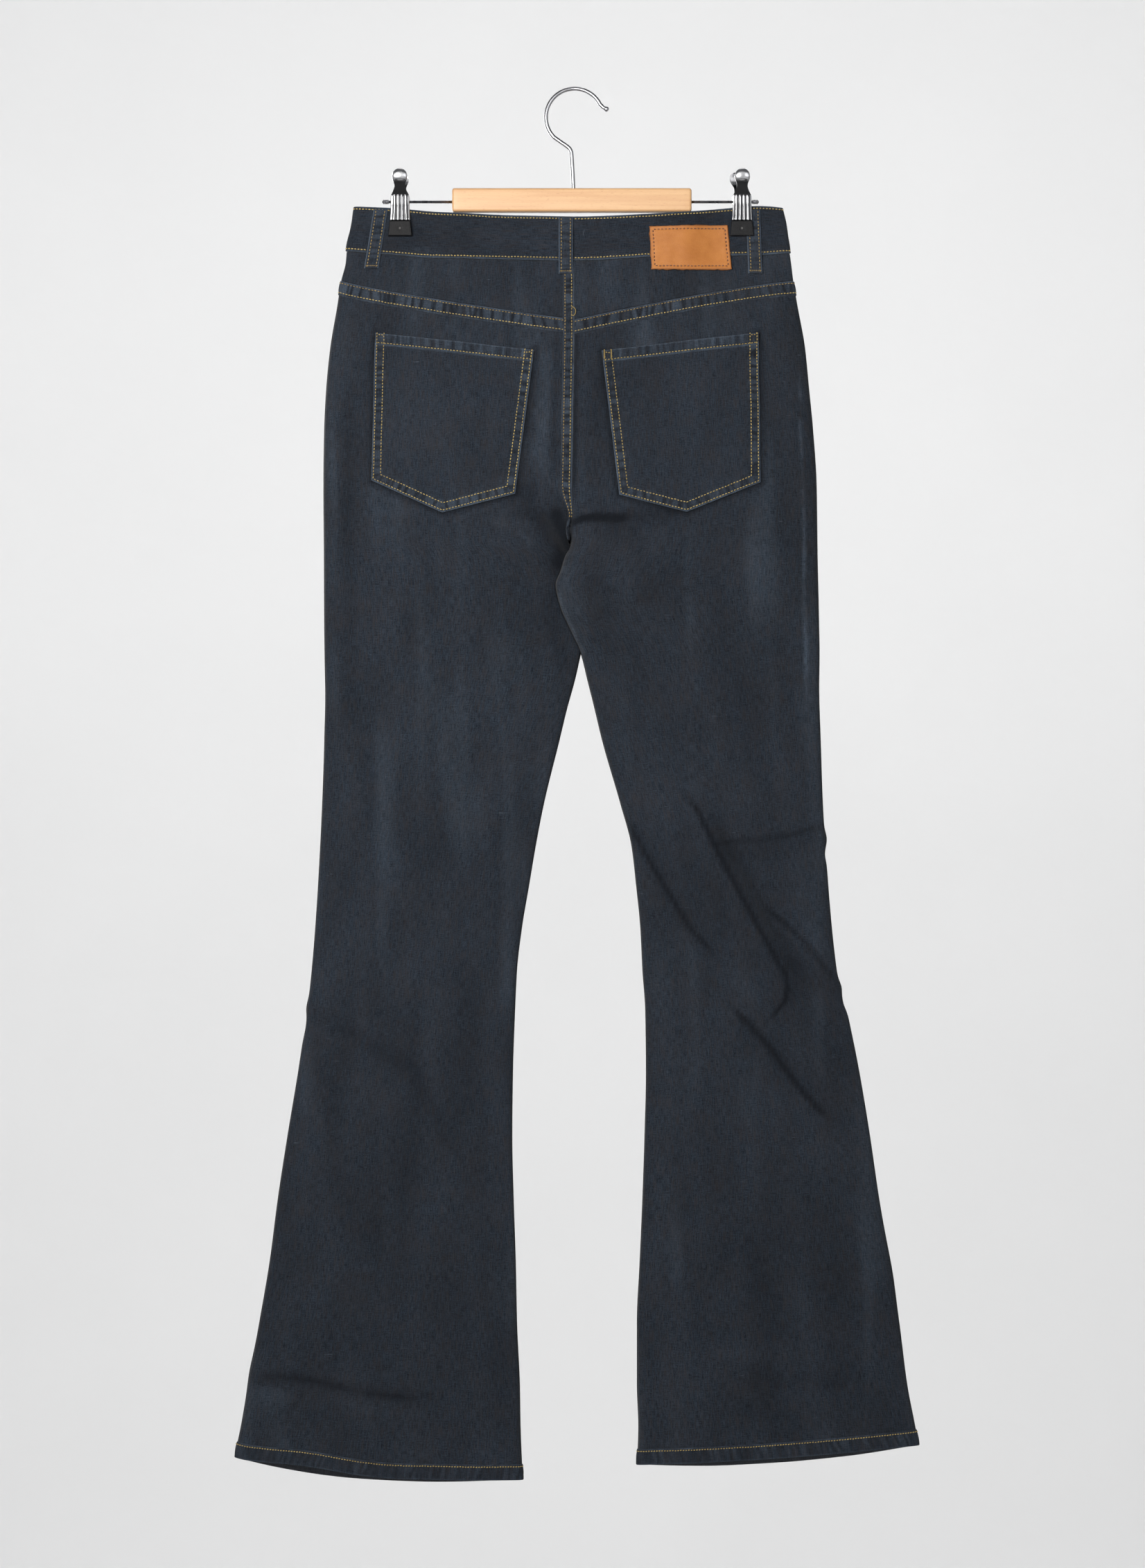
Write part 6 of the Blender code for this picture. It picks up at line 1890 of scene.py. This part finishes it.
def camera():
    data = bpy.data.cameras.new("camera")
    data.sensor_width = SENSOR
    data.lens = SENSOR * (CAMERA_AWAY - SHARP_PLANE) / (PHOTO_HIGH * PIXEL)
    made = bpy.data.objects.new("camera", data)
    x = (PHOTO_WIDE / 2 - ORIGIN_ACROSS) * PIXEL
    drop = (PHOTO_HIGH / 2 - ORIGIN_DOWN) * PIXEL
    made.location = (x * MM, -CAMERA_AWAY * MM, -drop * MM)
    made.rotation_euler = (math.radians(90), 0, 0)
    bpy.context.scene.collection.objects.link(made)
    bpy.context.scene.camera = made


# ---------------------------------------------------------------- the whole object


# A loose thread at the seat seam: x, drop and height over the cloth
LOOSE_THREAD = [(-2.4, 186.4, 0.4), (-0.9, 187.0, 1.2), (0.5, 188.6, 1.7), (0.9, 190.8, 1.7),
                (0.2, 193.0, 1.3),
                (-1.2, 194.2, 1.0), (-2.3, 193.4, 0.9), (-2.6, 191.9, 0.4)]


def loose_thread(looks):
    line = curve_through(LOOSE_THREAD, 5)
    points, normals = on_cloth("back", line[:, 0], line[:, 1], line[:, 2])
    piece = Piece("thread_loose")
    tube(piece, points, np.full(len(points), 0.3), 8)
    return piece.build(looks["gold"], None)


def main():
    looks = {
        "denim": denim(),
        "gold": thread("thread_gold", (0.19, 0.13, 0.03), (0.58, 0.43, 0.14)),
        # A darker copy of the gold thread, painted shade
        "gold_painted_shade": thread("thread_gold_painted_shade", (0.11, 0.067, 0.016), (0.37, 0.255, 0.08)),
        "brown": thread("thread_brown", (0.06, 0.022, 0.01), (0.2, 0.075, 0.03)),
        "leather": leather(),
        "steel": steel("steel_chromed", (0.46, 0.46, 0.48), 0.2),
        "lever": steel("steel_ribbed", (0.86, 0.86, 0.88), 0.16, marked=True),
        # A darker copy of the chrome for the rod: painted dark reflection
        "chrome_painted_dark": steel("steel_painted_dark_reflection", (0.22, 0.22, 0.235), 0.3),
        "rubber": rubber(),
        "beech": beech(),
        "brass": brass(),
    }
    camera()
    stage()
    lights()
    hanger_hook(looks)
    hanger_bar(looks)
    hanger_rod(looks)
    waistbands(looks)
    for side in SIDES:
        for end, facing in (("front", -1), ("rear", 1)):
            lever(side, end, facing, looks)
            pad(side, end, facing, looks)
        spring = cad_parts[f"clip_{side}_spring"]
        spring.data.materials.clear()
        spring.data.materials.append(looks["steel"])
        yoke(side, looks)
        back_panel(side, looks)
        front_panel(side, looks)
        pocket_facing(side, looks)
        back_pocket(side, looks)
    front_stitches()
    loose_thread(looks)
    for name, sizes in LOOPS.items():
        belt_loop(name, sizes, looks)
    leather_patch(looks)
    waist_button(looks)
    for group, piece in THREADS.items():
        piece.build(looks[THREAD_LOOKS.get(group, "gold")], None)


main()
